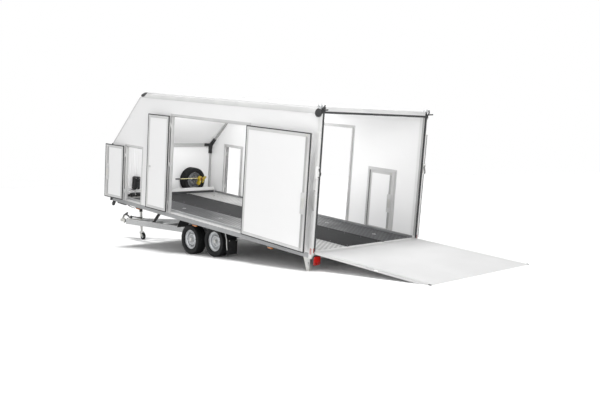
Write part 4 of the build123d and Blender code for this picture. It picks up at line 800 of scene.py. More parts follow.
make_piece("ramp_buffers", seal_rubber, mirrored(placed(shifted(buffer, (-2.044, 1.164, 0)), BOX)),
           body="ramp")
catch = joined(slab(0.044, 0.016, 0.004, ((0, 0), (0, 0.006), (0.002, 0.008))),
               shifted(slab(0.014, 0.02, 0.003, ((0, 0), (0, 0.0085), (0.002, 0.01))), (-0.03, 0, 0)))
make_piece("ramp_catches", white_nylon, mirrored(fixed(catch, (-1.19, 1.175, -0.013), (0, 1, 0))),
           body="ramp", slot="aluminium_profile")

# %% [markdown]
# ## Lamps
# The tail lamps are clusters: a red lens with two darker raised chambers along its foot, in a black
# housing with a smaller back. Amber side markers hang under the rails in black bases, and the front
# position lamps stand on rubber arms that give way when they are hit.

# %% Tail lamps
LAMP_PLACE = facing(BOX, (-0.032, 1.132, -0.126), (-1, 0, 0))
housing = joined(slab(0.15, 0.14, 0.022, ((0.008, 0), (0.002, -0.004), (0, -0.01), (0, -0.024),
                                          (0.01, -0.031))),
                 shifted(slab(0.12, 0.11, 0.004, ((0, -0.032), (0, -0.027))), (0.012, 0.021, 0)),
                 repeated(shifted(turned(((0.007, 0), (0.007, 0.006), (0.004, 0.007)), 6), (0, 0, -0.04)),
                          ((0.04, 0.05, 0), (-0.02, 0.05, 0))))
red_face = slab(0.134, 0.124, 0.018, ((0, -0.001), (0.0006, 0.0035), (0.004, 0.0062), (0.01, 0.007)))
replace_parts(make_piece("tail_lamp_housings", polypropylene, mirrored(placed(housing, LAMP_PLACE))),
            "tail_lights")
make_piece("tail_lamp_lenses", red_lens, mirrored(placed(red_face, LAMP_PLACE)))
window = slab(0.048, 0.03, 0.005, ((0, 0.005), (0.0005, 0.0078), (0.002, 0.0088)))
make_piece("tail_lamp_chambers", dark_lens, *[mirrored(placed(shifted(window, (x, -0.036, 0)), LAMP_PLACE))
                                              for x in (-0.036, 0.028)])

# %% Side markers and front position lamps
RAIL_UNDER = -0.098
base = slab(0.14, 0.044, 0.01, ((0, 0), (0, 0.01), (0.003, 0.013)))
marker = slab(0.118, 0.036, 0.014, ((0, 0.01), (0.001, 0.024), (0.006, 0.0345), (0.012, 0.0365)))
reaches = (0.94, 2.91, 4.75)
bases = [fixed(base, (x, 1.178, RAIL_UNDER), (0, 0, -1), (0, 1, 0)) for x in reaches]
markers = [fixed(marker, (x, 1.178, RAIL_UNDER), (0, 0, -1), (0, 1, 0)) for x in reaches]
ARM = ((5.635, 1.171, -0.098), (5.65, 1.171, -0.13), (5.69, 1.171, -0.182))
arm = carried(rounded(0.044, 0.06, 0.012), ARM, (1, 0, 0.4), place=BOX)
arm_head = turned(((0.016, -0.018), (0.02, -0.012), (0.02, 0.012), (0.016, 0.018)), 20,
                  facing(BOX, (5.69, 1.171, -0.182), (0, 1, 0)))
bracket = carried(((-0.012, -0.0015), (0.012, -0.0015), (0.012, 0.0015), (-0.012, 0.0015)),
                  ((5.2, 1.178, -0.1), (5.12, 1.178, -0.102), (5.06, 1.178, -0.118), (4.96, 1.178, -0.128),
                   (4.86, 1.178, -0.129)), (0, 0, 1), place=BOX)
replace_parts(make_piece("marker_lamp_bases", polypropylene, mirrored(*bases, arm, arm_head, bracket)),
            "marker_lamps")
make_piece("marker_lamp_lenses", amber_lens, mirrored(*markers))
clear_lens = turned(((0.013, 0.017), (0.0125, 0.021), (0.009, 0.0235), (0.003, 0.0242)), 20)
make_piece("position_lamp_lenses", white_nylon,
           mirrored(fixed(clear_lens, (5.69, 1.171, -0.182), (0, 1, 0))), slot="lamp")
rail_box = slab(0.29, 0.044, 0.008, ((0, 0), (0, 0.022), (0.004, 0.027)))
make_piece("rail_cover_plates", polypropylene,
           mirrored(fixed(rail_box, (5.352, 1.168, RAIL_UNDER), (0, 0, -1), (0, 1, 0))))

# %% [markdown]
# ## Inside the box
# Moulded three-way connectors join the profiles at both knees, and a ribbed liner protects the front wall
# beside the left hatch. Lashing rings are let into the tracks, and screws hold the kick board.


# %% Knee connectors
def arm_to(hub, end, thick, thin):
    """Tapered square arm from a hub to its end: its width falls from thick to thin, with rounded corners."""
    hub, end = np.array(hub), np.array(end)
    out = (end - hub) / np.linalg.norm(end - hub)
    place = facing(BOX, hub, out, (1, 0, 0) if abs(out[0]) < 0.5 else (0, 1, 0))
    length = np.linalg.norm(end - hub)
    return slab(thick, thick, thick * 0.2,
                ((0, -0.4 * thick), (0, 0.03), ((thick - thin) / 2, length * 0.55),
                 ((thick - thin) / 2, length - 0.004), ((thick - thin) / 2 + 0.003, length)), place)


HUB = (5.69, 1.14, 0.992)
SLANT = np.sqrt(0.5)
connector = joined(arm_to(HUB, (5.69, 1.14, 0.815), 0.078, 0.062),
                   arm_to(HUB, (5.69, 0.965, 1.004), 0.078, 0.062),
                   arm_to(HUB, (5.69 - 0.21 * SLANT, 1.14, 0.992 + 0.21 * SLANT), 0.078, 0.062))
make_piece("knee_connectors", polypropylene, mirrored(connector))
bar_section = ((-0.019, -0.015), (0.019, -0.015), (0.019, -0.004), (0.015, -0.003), (0.015, 0.003),
               (0.019, 0.004), (0.019, 0.015), (-0.019, 0.015), (-0.019, 0.004), (-0.015, 0.003),
               (-0.015, -0.003), (-0.019, -0.004))
make_piece("knee_bar", anodised_dark,
           carried(bar_section, ((5.688, 1.05, 1.016), (5.688, 0, 1.016), (5.688, -1.05, 1.016)),
                   place=BOX))
liner = slab(0.056, 1.93, 0.002, ((0, 0), (0, 0.0024), (0.001, 0.0032)))
make_piece("post_liners", anodised_up, mirrored(fixed(liner, (0.09, 1.1722, 1.0), (0, -1, 0))))
facing_strip = slab(0.036, 1.93, 0.002, ((0, 0), (0, 0.0014), (0.001, 0.0022)))
make_piece("post_facings", anodised_dark, mirrored(fixed(facing_strip, (0.041, 1.1622, 1.0), (0, -1, 0))))
joint = slab(5.35, 0.056, 0.004, ((0, 0), (0, 0.001), (0.0008, 0.0014)))
make_piece("floor_joint_strips", plywood, mirrored(fixed(joint, (2.72, 0.406, 0), (0, 0, 1), (0, 1, 0))))
board_seal = ((0.0, 0.0002), (0.016, 0.0002), (0.017, 0.006), (0.012, 0.03), (0.008, 0.046), (0.0, 0.048))
make_piece("kick_board_seal", seal_rubber,
           carried(board_seal, ((5.4345, -1.1, 0), (5.4345, 0, 0), (5.4345, 1.1, 0)), place=BOX))

# %% Ribbed liner, lashing rings and screws
RIB_PITCH = 0.04
rib_count = 16
shares = np.array(((0, 0.0025), (0.62, 0.0025), (0.7, 0.008), (0.92, 0.008)))
ridge = np.concatenate([shares * (RIB_PITCH, 1) + (step * RIB_PITCH, 0) for step in range(rib_count)])
ridge = np.concatenate((ridge, ((rib_count * RIB_PITCH, 0.0025), (rib_count * RIB_PITCH, 0), (0, 0))))
make_piece("front_wall_liner", gelcoat,
           carried(ridge, ((5.712, 1.125, 0.12), (5.712, 1.125, 0.955)), (-1, 0, 0), place=BOX))
cup = turned(((0.034, 0.0002), (0.034, 0.0016), (0.031, 0.0024), (0.027, 0.002), (0.024, 0.0006)), 24)
lashing = carried(ring(0.0038, 8), [(0.02 * np.cos(a), 0.02 * np.sin(a), 0.0042)
                                    for a in np.linspace(0, 2 * np.pi, 20, endpoint=False)], closed=True)
ring_spots = [(x, side * 0.754, 0) for x in (0.55, 1.65, 2.75, 3.85, 4.95) for side in (1, -1)]
make_piece("lashing_rings", anodised_dark, placed(repeated(joined(cup, lashing), ring_spots), BOX),
           slot="zinc_plate")
board_screws = [(5.4345, y, 0.085) for y in np.arange(-1.05, 1.06, 0.21)]
small_screw = turned(((0.006, 0), (0.0056, 0.0014), (0.004, 0.0028), (0.0018, 0.0034)), 8)
make_piece("kick_board_screws",
           zinc_plate, *[fixed(small_screw, spot, (-1, 0, 0)) for spot in board_screws])
floor_screws = [(x, side * y, 0) for x in np.arange(0.12, 5.6, 0.36) for y in (0.35, 1.105)
                for side in (1, -1)]
make_piece("floor_screws", zinc_plate,
           placed(repeated(turned(((0.0065, 0), (0.006, 0.0007), (0.003, 0.0011)), 8), floor_screws), BOX))

# %% [markdown]
# ## Cable puller
# The hand winch hangs on the kick board, behind the spare wheel. Two yellow cheeks are held apart by
# spacer bolts and carry a ratchet wheel and a small cable drum between them. Its lever is a cream bar
# with a ribbed grip.


# %% Cable puller
def plate(outline, levels, place):
    """Flat part from any outline: each (inset, z) level draws the outline in towards its middle."""
    outline = np.array(outline, float)
    centre = outline.mean(0)
    reach = np.linalg.norm(outline - centre, axis=1, keepdims=True)
    rows = [np.column_stack((outline - (outline - centre) / reach * inset, np.full(len(outline), z)))
            for inset, z in levels]
    points, faces = surface(np.array(rows), ring_columns=True, capped=True)
    return put(points, place), faces


PULLER = facing(BOX, (5.405, -0.72, 0.29), (-1, 0, 0))
hook_cheek = np.array(((-0.095, -0.09), (-0.07, -0.118), (-0.03, -0.108), (-0.012, -0.07), (0.0, -0.02),
                       (0.012, 0.02), (0.01, 0.055), (-0.012, 0.074), (-0.04, 0.072), (-0.062, 0.05),
                       (-0.068, 0.01), (-0.066, -0.03), (-0.08, -0.055)))
drum_cheek = np.array(((0.036, -0.07), (0.058, -0.072), (0.074, -0.048), (0.082, -0.01), (0.112, 0.022),
                       (0.14, 0.052), (0.128, 0.068), (0.1, 0.058), (0.06, 0.046), (0.036, 0.02),
                       (0.028, -0.03)))
link = np.array(((-0.138, 0.022), (-0.128, 0.038), (-0.09, 0.044), (-0.03, 0.036), (0.05, 0.04),
                 (0.1, 0.05), (0.106, 0.036), (0.06, 0.02), (-0.02, 0.012), (-0.09, 0.02), (-0.126, 0.012)))
skin = ((0.0025, 0), (0, 0.0012), (0, 0.004), (0.0025, 0.0052))


def sheet(outline, level):
    """Pressed sheet of the puller with rounded edges, whose back lies at a level."""
    return plate(outline, [(inset, z + level) for inset, z in skin], PULLER)


make_piece("puller_cheeks", yellow_enamel, sheet(hook_cheek, -0.026), sheet(hook_cheek, 0.016),
           sheet(drum_cheek, -0.022), sheet(drum_cheek, 0.012), sheet(link, 0.023))
pawl = np.array(((-0.026, 0.006), (-0.004, 0.0), (0.01, 0.018), (0.004, 0.038), (-0.014, 0.046),
                 (-0.03, 0.03)))
make_piece("puller_pawl", pawl_red, sheet(pawl, 0.029))
tooth = np.arange(40) * np.pi / 20
teeth = np.stack((np.where(np.arange(40) % 2, 0.05, 0.058) * np.cos(tooth),
                  np.where(np.arange(40) % 2, 0.05, 0.058) * np.sin(tooth)), -1)
drum = turned(((0.044, -0.018), (0.044, -0.014), (0.026, -0.013), (0.026, -0.004), (0.04, -0.003),
               (0.04, 0.0)), 24)
turns = carried(ring(0.0036, 6), [((0.0285 + 0.0003 * i / 24) * np.cos(i * np.pi / 12),
                                   0.0285 * np.sin(i * np.pi / 12), -0.0125 + 0.009 * i / 72)
                                  for i in range(73)])
spacers = [(-0.118, 0.028, 0), (-0.034, -0.045, 0), (0.06, -0.05, 0), (-0.034, 0.052, 0), (0.122, 0.05, 0)]
nut = joined(turned(((0.0095, 0.0262), (0.0095, 0.03), (0.008, 0.031)), 6),
             turned(((0.0055, -0.027), (0.0055, 0.033), (0.004, 0.034)), 10))
axle_boss = turned(((0.016, -0.028), (0.016, 0.03), (0.012, 0.033), (0.008, 0.033), (0.007, 0.03)), 20)
make_piece("puller_ratchet", powder_coat,
           plate(teeth, ((0.001, 0.002), (0, 0.003), (0, 0.011), (0.001, 0.012)), PULLER),
           placed(drum, PULLER), placed(axle_boss, PULLER))
make_piece("puller_cable", zinc_plate, placed(turns, PULLER), placed(repeated(nut, spacers), PULLER),
           turned(((0.012, 0.0), (0.012, 0.09), (0.008, 0.094)), 12,
                  facing(BOX, (5.432, -0.635, 0.262), (1, 0, 0))))
lever = carried(rounded(0.01, 0.026, 0.003),
                ((5.405, -0.69, 0.318), (5.405, -0.56, 0.318), (5.405, -0.2, 0.318)), (1, 0, 0), place=BOX)
make_piece("puller_lever", cream_paint, lever)
rings_on_grip = [(0.012, 0), (0.0155, 0.003), (0.0155, 0.11), (0.012, 0.114)]
rings_on_grip[2:2] = [(0.0155 - 0.0022 * (i % 2), 0.006 + 0.008 * i) for i in range(13)]
grip = turned(rings_on_grip, 16, facing(BOX, (5.405, -0.2, 0.318), (0, 1, 0)))
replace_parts(make_piece("puller_grip", polypropylene, grip), "cable_puller")

# %% [markdown]
# ## Hydraulic unit
# The tilt pump is a black case on the front wall with a domed top and moulded ribs. Its motor lies on a
# tray at the foot of the kick board: a ribbed body, a slim neck and a cap on its end, with a steel pipe
# between.

# %% Hydraulic unit
case_place = facing(BOX, (5.612, 0.68, 0.232), (-1, 0, 0))
pump_case = joined(slab(0.13, 0.262, 0.024, ((0, -0.0985), (0, -0.02), (0.003, -0.004), (0.012, 0.0))),
                   *[shifted(slab(0.134, 0.014, 0.006, ((0, -0.08), (0, -0.012), (0.003, -0.008))),
                             (0, h, 0)) for h in (-0.1, -0.072, -0.044)],
                   shifted(slab(0.092, 0.07, 0.012, ((0, -0.004), (0.001, 0.008), (0.006, 0.012))),
                           (0, 0.052, 0)),
                   shifted(turned(((0.024, 0.01), (0.026, 0.014), (0.026, 0.022), (0.02, 0.026)), 20),
                           (0.018, 0.062, 0)),
                   shifted(slab(0.08, 0.03, 0.006, ((0, -0.004), (0, 0.006), (0.003, 0.009))),
                           (0, -0.006, 0)))
MOTOR = facing(BOX, (5.36, 0.98, 0.05), (0, -1, 0))
fins = [(0.03, 0.112), (0.036, 0.115)]
for fin in range(12):
    fins += [(0.0375, 0.118 + 0.013 * fin), (0.0375, 0.125 + 0.013 * fin), (0.0345, 0.126 + 0.013 * fin),
             (0.0345, 0.1305 + 0.013 * fin)]
fins += [(0.036, 0.276), (0.03, 0.279)]
end_cap = turned(((0.03, 0), (0.036, 0.004), (0.0375, 0.012), (0.0375, 0.07), (0.034, 0.08),
                  (0.018, 0.083)), 28)
motor_body = turned(fins, 28)
feet = [placed(shifted(slab(0.05, 0.018, 0.004, ((0, 0), (0, 0.014), (0.002, 0.016))), (x, y, 0.012)), BOX)
        for x, y in ((5.36, 0.93), (5.36, 0.845), (5.36, 0.725))]
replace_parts(make_piece("hydraulic_pump_case", powder_coat, placed(pump_case, case_place),
                       placed(end_cap, MOTOR), placed(motor_body, MOTOR), *feet), "hydraulic_unit")
tray = placed(shifted(slab(0.178, 0.338, 0.012, ((0, 0), (0, 0.012), (0.002, 0.014))), (5.345, 0.84, 0)),
              BOX)
neck = placed(turned(((0.02, 0.08), (0.02, 0.084), (0.014, 0.086), (0.014, 0.11), (0.02, 0.112),
                      (0.02, 0.116)), 20), MOTOR)
pipe = carried(ring(0.0055, 10), ((5.36, 0.868, 0.06), (5.36, 0.868, 0.1), (5.4, 0.84, 0.128),
                                  (5.5, 0.76, 0.135), (5.59, 0.7, 0.135), (5.64, 0.7, 0.12),
                                  (5.66, 0.7, 0.108)), (0, 1, 0), place=BOX)
plugs = repeated(turned(((0.0085, 0.0), (0.0085, 0.006), (0.007, 0.007)), 6),
                 ((0.04, 0.102, 0), (-0.04, 0.102, 0)))
make_piece("hydraulic_fittings", zinc_plate, tray, neck, pipe, placed(plugs, case_place))

# %% [markdown]
# ## Drawbar
# The coupling's shaft slides inside a rubber bellows, and round pads sit on both sides of its head. A black
# lever is bent over it, and the handbrake lies back along the beams. The jockey wheel winds up with
# a crank on a dark housing, in a clamp with a toggle.

# %% Coupling and handbrake
bellows_profile = [(0.034, 0.0), (0.034, 0.157)]
bellows_profile[1:1] = [(0.046 if fold % 2 else 0.038, 0.01 + 0.0085 * fold) for fold in range(17)]
bellows = turned(bellows_profile, 24, facing(CHASSIS, (6.988, 0, 0.395), (1, 0, 0)))
make_piece("shaft_bellows", seal_rubber, bellows, body="chassis")

PAD = (7.212, 0.036, 0.396)
pad_ring = turned(((0.044, 0), (0.05, 0.002), (0.05, 0.012), (0.046, 0.015)), 28,
                  facing(CHASSIS, PAD, (0, 1, 0)))
pad_cap = turned(((0.041, 0.012), (0.04, 0.018), (0.03, 0.022), (0.013, 0.022), (0.011, 0.026),
                  (0.008, 0.027)), 28, facing(CHASSIS, PAD, (0, 1, 0)))
lever_arc = carried(rounded(0.034, 0.022, 0.008),
                    ((7.345, 0, 0.424), (7.338, 0, 0.452), (7.318, 0, 0.484), (7.285, 0, 0.512),
                     (7.24, 0, 0.528), (7.19, 0, 0.528), (7.14, 0, 0.514), (7.09, 0, 0.49),
                     (7.06, 0, 0.466)), (0, 1, 0), place=CHASSIS)
handle_path = ((7.215, 0, 0.54), (7.175, 0, 0.553), (7.131, 0, 0.568))
handle_grip = carried(rounded(0.036, 0.024, 0.008), handle_path, (0, 1, 0), place=CHASSIS)
make_piece("coupling_lever", polypropylene, mirrored(pad_ring), lever_arc, handle_grip, body="chassis")

flange_spots = [(x, y, 0.453) for x in (6.765, 6.84, 6.915) for y in (0.128, -0.128)]
hex_bolt = joined(turned(((0.012, 0), (0.012, 0.0016), (0.0105, 0.0022)), 16),
                  turned(((0.0085, 0.002), (0.0095, 0.0028), (0.0095, 0.0085), (0.0082, 0.0096)), 6))
grease = turned(((0.005, 0), (0.005, 0.004), (0.0032, 0.005), (0.0032, 0.009), (0.0045, 0.01),
                 (0.003, 0.013)), 8)
clamp_ring = turned(((0.045, 0), (0.047, 0.001), (0.047, 0.007), (0.045, 0.008)), 24,
                    facing(CHASSIS, (6.992, 0, 0.395), (1, 0, 0)))
make_piece("coupling_fittings", zinc_plate, mirrored(pad_cap), clamp_ring,
           placed(repeated(hex_bolt, flange_spots), CHASSIS),
           placed(repeated(grease, ((6.82, 0, 0.453), (6.89, 0, 0.453))), CHASSIS), body="chassis")

quadrant_turn = np.linspace(0, np.pi, 13)
quadrant = np.concatenate((np.stack((0.034 * np.cos(quadrant_turn), 0.02 + 0.026 * np.sin(quadrant_turn)),
                                    -1), ((-0.034, -0.019), (0.034, -0.019))))
bracket = plate(quadrant, ((0.002, 0), (0, 0.001), (0, 0.016), (0.002, 0.017)),
                facing(CHASSIS, (6.88, 0.0535, 0.472), (0, 1, 0)))
lever_line = ((6.905, 0.062, 0.466), (6.93, 0.062, 0.478), (6.922, 0.062, 0.492), (6.88, 0.062, 0.496),
              (6.6, 0.062, 0.486), (6.548, 0.062, 0.484))
brake_lever = carried(rounded(0.012, 0.026, 0.004), lever_line, place=CHASSIS)
brake_grip = [(0.011, 0), (0.0165, 0.112), (0.008, 0.117)]
brake_grip[1:1] = [(0.0175 - 0.0018 * (i % 2), 0.004 + 0.009 * i) for i in range(12)]
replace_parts(make_piece("handbrake_detail", powder_coat, bracket, brake_lever,
                       turned(((0.014, 0), (0.014, 0.006), (0.011, 0.009)), 6,
                              facing(CHASSIS, (6.88, 0.07, 0.478), (0, 1, 0))),
                       turned(brake_grip, 16, facing(CHASSIS, (6.56, 0.062, 0.484), (-1, 0, -0.03))),
                       body="chassis"), "handbrake_lever")

# %% Jockey wheel
JOCKEY_TOP = 0.61


def standing(x, z):
    """Place in the chassis's middle plane with the shared frame's own axes."""
    return put((x, 0, z), CHASSIS), np.eye(3)


def spun(section, place, steps=48):
    """Ring made by turning a closed section of (r, h) points about local z: (r cos a, r sin a, h)."""
    r, h = np.array(section).T
    a = np.linspace(0, 2 * np.pi, steps, endpoint=False)[:, None]
    points = np.stack((r * np.cos(a), r * np.sin(a), h + 0 * a), -1)
    return placed(surface(points, ring_rows=True, ring_columns=True), place)


housing = turned(((0.034, -0.004), (0.0355, 0.0), (0.0355, 0.052), (0.0345, 0.06), (0.028, 0.068),
                  (0.016, 0.074), (0.015, 0.092), (0.011, 0.095)), 28, standing(6.57, JOCKEY_TOP))
crank_grip = turned([(0.01, 0), (0.0145, 0.004), (0.016, 0.02), (0.015, 0.045), (0.0165, 0.066),
                     (0.0145, 0.076), (0.009, 0.079)], 16, standing(6.69, 0.728))
make_piece("jockey_housing", polypropylene, housing, crank_grip, body="chassis")
crank_arm = carried(rounded(0.018, 0.02, 0.004), ((6.57, 0, 0.702), (6.61, 0, 0.712), (6.697, 0, 0.728)),
                    (0, 0, 1), place=CHASSIS)
collar_spots = ((0.0305, 0), (0.0365, 0.002), (0.0365, 0.016), (0.0305, 0.018))
clamp_collars = [turned(collar_spots, 28, standing(6.57, height)) for height in (0.352, 0.434)]
toggle = joined(turned(((0.0085, 0.0), (0.0085, 0.06), (0.007, 0.062)), 12,
                       facing(CHASSIS, (6.57, 0.034, 0.444), (0.2, 1, 0))),
                carried(ring(0.0055, 8), ((6.582, 0.094, 0.408), (6.582, 0.094, 0.444),
                                          (6.582, 0.094, 0.482)), (0, 1, 0), place=CHASSIS))
swivel_collar = turned(((0.0245, 0), (0.029, 0.002), (0.029, 0.014), (0.0245, 0.016)), 24,
                       standing(6.57, 0.278))
make_piece("jockey_clamp", zinc_plate, crank_arm, *clamp_collars, toggle, body="chassis")
make_piece("jockey_fork_collar", zinc_plate, swivel_collar, body="jockey_fork")

JOCKEY_AXLE = facing(CHASSIS, (6.52, 0, 0.08), (0, 1, 0))
jockey_section = ((0.048, -0.0235), (0.053, -0.0248), (0.068, -0.0238), (0.0755, -0.019), (0.079, -0.0105),
                  (0.0798, 0.0), (0.079, 0.0105), (0.0755, 0.019), (0.068, 0.0238), (0.053, 0.0248),
                  (0.048, 0.0235), (0.046, 0.0))
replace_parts(make_piece("jockey_wheel_tyre", tyre_rubber, spun(jockey_section, JOCKEY_AXLE),
                       body="jockey_wheel"), "jockey_wheel")
hub_profile = ((0.0085, -0.025), (0.016, -0.025), (0.0175, -0.02), (0.019, -0.011), (0.042, -0.013),
               (0.05, -0.0235), (0.052, -0.0225), (0.047, -0.006), (0.047, 0.006), (0.052, 0.0225),
               (0.05, 0.0235), (0.042, 0.013), (0.019, 0.011), (0.0175, 0.02), (0.016, 0.025),
               (0.0085, 0.025))
make_piece("jockey_wheel_hub", rim_lacquer, spun(hub_profile, JOCKEY_AXLE), body="jockey_wheel")
axle_nut = turned(((0.0115, 0), (0.0115, 0.006), (0.0095, 0.0075)), 6,
                  facing(CHASSIS, (6.52, 0.038, 0.08), (0, 1, 0)))
make_piece("jockey_axle_nuts", zinc_plate, mirrored(axle_nut), body="jockey_fork")

# %% Tilt cylinder
foot_place = np.array(JOINTS["cylinder_turn"]["pos_m"])
rod_end = put((5.502, 0, -0.126), BOX)
BARREL_AXIS = (rod_end - foot_place) / np.linalg.norm(rod_end - foot_place)
BARREL = (foot_place, np.stack((LEFT, np.cross(BARREL_AXIS, LEFT), BARREL_AXIS)))
gland = turned(((0.033, 0.436), (0.0365, 0.44), (0.0365, 0.468), (0.034, 0.4725), (0.0172, 0.4735)), 28,
               BARREL)
base_collar = turned(((0.0325, 0.06), (0.0355, 0.063), (0.0355, 0.082), (0.0325, 0.085)), 28, BARREL)
make_piece("cylinder_gland", powder_coat, gland, base_collar, body="cylinder_barrel")
port = joined(turned(((0.011, 0.032), (0.011, 0.04), (0.009, 0.041)), 6),
              turned(((0.007, 0.04), (0.007, 0.056), (0.005, 0.057)), 10))
ports = [placed(port, (BARREL[0] + BARREL_AXIS * reach,
                       np.stack((BARREL_AXIS, -BARREL[1][1], BARREL[1][0])))) for reach in (0.11, 0.415)]
make_piece("cylinder_ports", zinc_plate, *ports, body="cylinder_barrel")

# %% [markdown]
# ## Outside and underneath
# Blind rivets hold the lower rails, the front sill and the roof rails. Under the box, bolts hold the
# cross-members, and a dark conduit in saddles carries the wiring. A tube stay holds each mudguard, and
# straps with bolted ears hold the axles.

# %% Rivets on the profiles
rivet = turned(((0.005, 0), (0.0047, 0.0012), (0.0035, 0.0022), (0.0015, 0.0026)), 8)
rail_spots = [(x, 1.2, z) for x in np.arange(0.15, 5.66, 0.35) for z in (-0.034, -0.084)]
make_piece("rail_rivets", zinc_plate, mirrored(*[fixed(rivet, spot, (0, 1, 0)) for spot in rail_spots]))
sill_spots = [(5.74, y, -0.062) for y in np.arange(-1.05, 1.06, 0.3)]
make_piece("front_sill_rivets", zinc_plate, *[fixed(rivet, spot, (1, 0, 0)) for spot in sill_spots])
roof_spots = [(x, 1.085, 2.0595) for x in np.arange(0.2, 4.6, 0.3)]
make_piece("roof_rail_rivets", zinc_plate,
           mirrored(*[fixed(rivet, spot, (0, 0, 1), (1, 0, 0)) for spot in roof_spots]))

# %% Underside
MEMBER_PITCH = 0.5595
CROSS_MEMBERS = np.arange(0.085, 5.7, MEMBER_PITCH)
MEMBER_BOTTOM = -0.071
UPSIDE_DOWN = (np.zeros(3), np.diag((1.0, -1.0, -1.0)))
hung_bolt = placed(hex_bolt, UPSIDE_DOWN)
bolt_spots = [(x, y, MEMBER_BOTTOM) for x in CROSS_MEMBERS for y in (0.455, 0.505, 1.1)]
make_piece("cross_member_bolts", zinc_plate, mirrored(placed(repeated(hung_bolt, bolt_spots), BOX)))
CONDUIT_SAG, CONDUIT_SIDE = 0.006, 0.9
conduit_x = np.linspace(0.12, 5.6, 120)
sag = CONDUIT_SAG * np.sin(np.pi * (conduit_x - CROSS_MEMBERS[0]) / MEMBER_PITCH) ** 2
conduit = carried(ring(0.009, 10), np.column_stack((conduit_x, np.full(120, CONDUIT_SIDE), -0.082 - sag)),
                  place=BOX)
saddle = carried(((-0.0008, -0.008), (0.0008, -0.008), (0.0008, 0.008), (-0.0008, 0.008)),
                 ((0, -0.024, 0), (0, -0.0115, 0), (0, -0.0105, -0.014), (0, -0.0055, -0.0205),
                  (0, 0.0055, -0.0205), (0, 0.0105, -0.014), (0, 0.0115, 0), (0, 0.024, 0)), (1, 0, 0))
saddles = repeated(saddle, [(x, CONDUIT_SIDE, MEMBER_BOTTOM - 0.001) for x in CROSS_MEMBERS[1:]])
make_piece("wiring_conduit", polypropylene, conduit, placed(saddles, BOX))

# %% Mudguard stays and axle fittings
stay = carried(ring(0.0085, 10), ((2.345, 1.014, -0.088), (2.29, 1.02, -0.112), (2.24, 1.026, -0.17),
                                  (2.208, 1.026, -0.25), (2.2, 1.024, -0.34), (2.199, 1.01, -0.43)),
               (0, 1, 0), place=BOX)
stay_foot = fixed(slab(0.05, 0.03, 0.006, ((0, 0), (0, 0.004), (0.002, 0.005))), (2.345, 1.01, -0.083),
                  (0, 0, -1), (0, 1, 0))
make_piece("mudguard_stays", zinc_plate, mirrored(stay, stay_foot))
rib = carried(((-0.004, 0), (0.004, 0), (0.002, 0.0035), (-0.002, 0.0035)),
              ((2.19, 0.0, 0.0), (2.19, 0.0, -0.205)), (-1, 0, 0))
ribs = repeated(rib, [(0, y, -0.28) for y in (0.835, 0.87, 0.9055, 0.941, 0.976)])
flap_bolts = [fixed(hex_bolt, (2.19, y, -0.272), (-1, 0, 0)) for y in (0.832, 0.979)]
make_piece("mud_flap_ribs", polypropylene, mirrored(placed(ribs, BOX)))
make_piece("mud_flap_bolts", zinc_plate, mirrored(*flap_bolts))

AXLE_REACHES = (2.777, 3.48)
strap_line = ((-0.05, 0, 0.346), (-0.05, 0, 0.262), (-0.044, 0, 0.255), (0.044, 0, 0.255), (0.05, 0, 0.262),
              (0.05, 0, 0.346))
strap = carried(((-0.0035, -0.03), (0.0035, -0.03), (0.0035, 0.03), (-0.0035, 0.03)), strap_line, (0, 1, 0))
ear = placed(slab(0.07, 0.05, 0.006, ((0, 0), (0, 0.006), (0.002, 0.008))), UPSIDE_DOWN)
for reach, name in zip(AXLE_REACHES, ("rear", "front")):
    parts = [shifted(strap, (reach, 0.72, 0)), shifted(ear, (reach - 0.088, 0.72, 0.345)),
             shifted(ear, (reach + 0.088, 0.72, 0.345)), shifted(hung_bolt, (reach - 0.092, 0.72, 0.337)),
             shifted(hung_bolt, (reach + 0.092, 0.72, 0.337))]
    make_piece(name + "_axle_straps", galvanised, mirrored(placed(joined(*parts), CHASSIS)), body="chassis")
    cable_y = np.linspace(0.055, 0.745, 24)
    cable = np.column_stack((np.full(24, reach - 0.052), cable_y, 0.285 + 0.01 * np.sin(cable_y * 8.0)))
    make_piece(name + "_brake_pipes", powder_coat, mirrored(carried(ring(0.0055, 8), cable, place=CHASSIS)),
               placed(slab(0.06, 0.11, 0.012, ((0, 0), (0, 0.016), (0.004, 0.02))),
                      facing(CHASSIS, (reach - 0.042, 0, 0.292), (-1, 0, 0), (0, 1, 0))), body="chassis")
rod_x = np.linspace(2.9, 6.66, 12)
rod = np.column_stack((rod_x, np.zeros(12), np.linspace(0.3, 0.352, 12)))
make_piece("brake_rod", zinc_plate, carried(ring(0.006, 8), rod, place=CHASSIS), body="chassis")

# %% [markdown]
# ## Light and floor
# A plain white studio. The main light comes from overhead, a little from the left, as a sun with a disc 26
# degrees wide, so that the shadow lies under the trailer and softens with the height of what throws it.
# One softbox lights the left wall and another shines in from behind, and a weak white sky fills the rest.
# Three lamps inside the box, which the camera doesn't see, stand for the daylight that comes through the
# pale roof panel.

# %% Studio lamps and sky
scene.view_settings.view_transform = "Standard"
world = bpy.data.worlds.new("studio")
scene.world = world
world.use_nodes = True
SKY_LEVEL = 0.22
sky_rays = add_node(world, "LightPath")
seen = add_node(world, "Math", {0: sky_rays.outputs["Is Camera Ray"], 1: sky_rays.outputs["Is Glossy Ray"]},
                operation="MAXIMUM")
level = add_node(world, "MapRange", {"Value": seen, "To Min": SKY_LEVEL, "To Max": 1.0})
sky = world.node_tree.nodes["Background"]
sky.inputs["Color"].default_value = (1, 1, 1, 1)
world.node_tree.links.new(level.outputs[0], sky.inputs["Strength"])


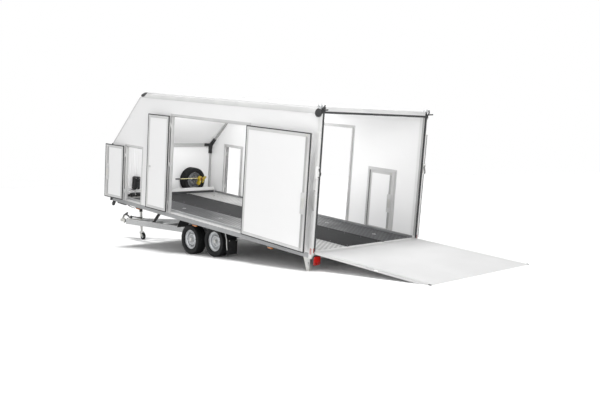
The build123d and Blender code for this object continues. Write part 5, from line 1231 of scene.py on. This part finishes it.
def lamp(name, kind, place, target, energy, **settings):
    """Lamp at a place, turned to a target. Energy is in watts, or in watts per square metre for a sun."""
    data = bpy.data.lights.new(name, kind)
    data.energy = energy
    for key, value in settings.items():
        setattr(data, key, value)
    shape = bpy.data.objects.new(name, data)
    aim = (Vector(target) - Vector(place)).to_track_quat("-Z", "Y")
    shape.matrix_world = Matrix.Translation(place) @ aim.to_matrix().to_4x4()
    scene.collection.objects.link(shape)
    return shape


CEILING_LIGHT = 2.7
CEILING_SPREAD = 26
lamp("ceiling", "SUN", (0.0, 1.8, 9.0), (0, 0, 0), CEILING_LIGHT, angle=float(np.radians(CEILING_SPREAD)))
lamp("left_softbox", "AREA", (-1.0, 11.0, 7.0), (0, 0, 1.0), 160, size=8.0)
lamp("rear_softbox", "AREA", (-10.5, 5.0, 4.0), (0, 0, 1.2), 400, size=5.0)
roof_glow = lamp("roof_glow", "AREA", put((3.0, 0, 1.98), BOX), put((3.0, 0, 0), BOX), 32, size=2.0)
wall_glow = lamp("wall_glow", "AREA", put((1.7, 0.9, 1.2), BOX), put((1.7, -1.2, 0.7), BOX), 19,
                 shape="RECTANGLE", size=2.6, size_y=0.3)
front_glow = lamp("front_glow", "AREA", put((3.6, 0.3, 1.8), BOX), put((5.7, 0, 0.8), BOX), 23, size=0.8)
for glow in (roof_glow, wall_glow, front_glow):
    glow.visible_camera = False
    glow.visible_glossy = False

# %% Floor
FLOOR_REACH = 60.0
FLOOR_LIFT = 0.02
floor_paint = bpy.data.materials.new("white studio floor")
floor_paint.use_nodes = True
floor_paint.node_tree.nodes.clear()
floor_rays = add_node(floor_paint, "LightPath")
floor_lift = add_node(floor_paint, "Math", {0: floor_rays.outputs["Is Camera Ray"], 1: FLOOR_LIFT},
                      operation="MULTIPLY")
floor_white = add_node(floor_paint, "MixRGB",
                       {"Fac": floor_rays.outputs["Is Camera Ray"], "Color1": linear("#E6E6E6"),
                        "Color2": linear("#FFFFFF")})
floor_shader = add_node(floor_paint, "BsdfPrincipled",
                        {"Base Color": floor_white, "Roughness": 0.9, "Emission Color": (1, 1, 1, 1),
                         "Emission Strength": floor_lift})
add_node(floor_paint, "OutputMaterial", {"Surface": floor_shader})
floor_mesh = bpy.data.meshes.new("studio_floor")
floor_mesh.from_pydata([(-FLOOR_REACH, -FLOOR_REACH, 0), (FLOOR_REACH, -FLOOR_REACH, 0),
                        (FLOOR_REACH, FLOOR_REACH, 0), (-FLOOR_REACH, FLOOR_REACH, 0)], [], [(0, 1, 2, 3)])
floor_mesh.materials.append(floor_paint)
studio_floor = bpy.data.objects.new("studio_floor", floor_mesh)
scene.collection.objects.link(studio_floor)
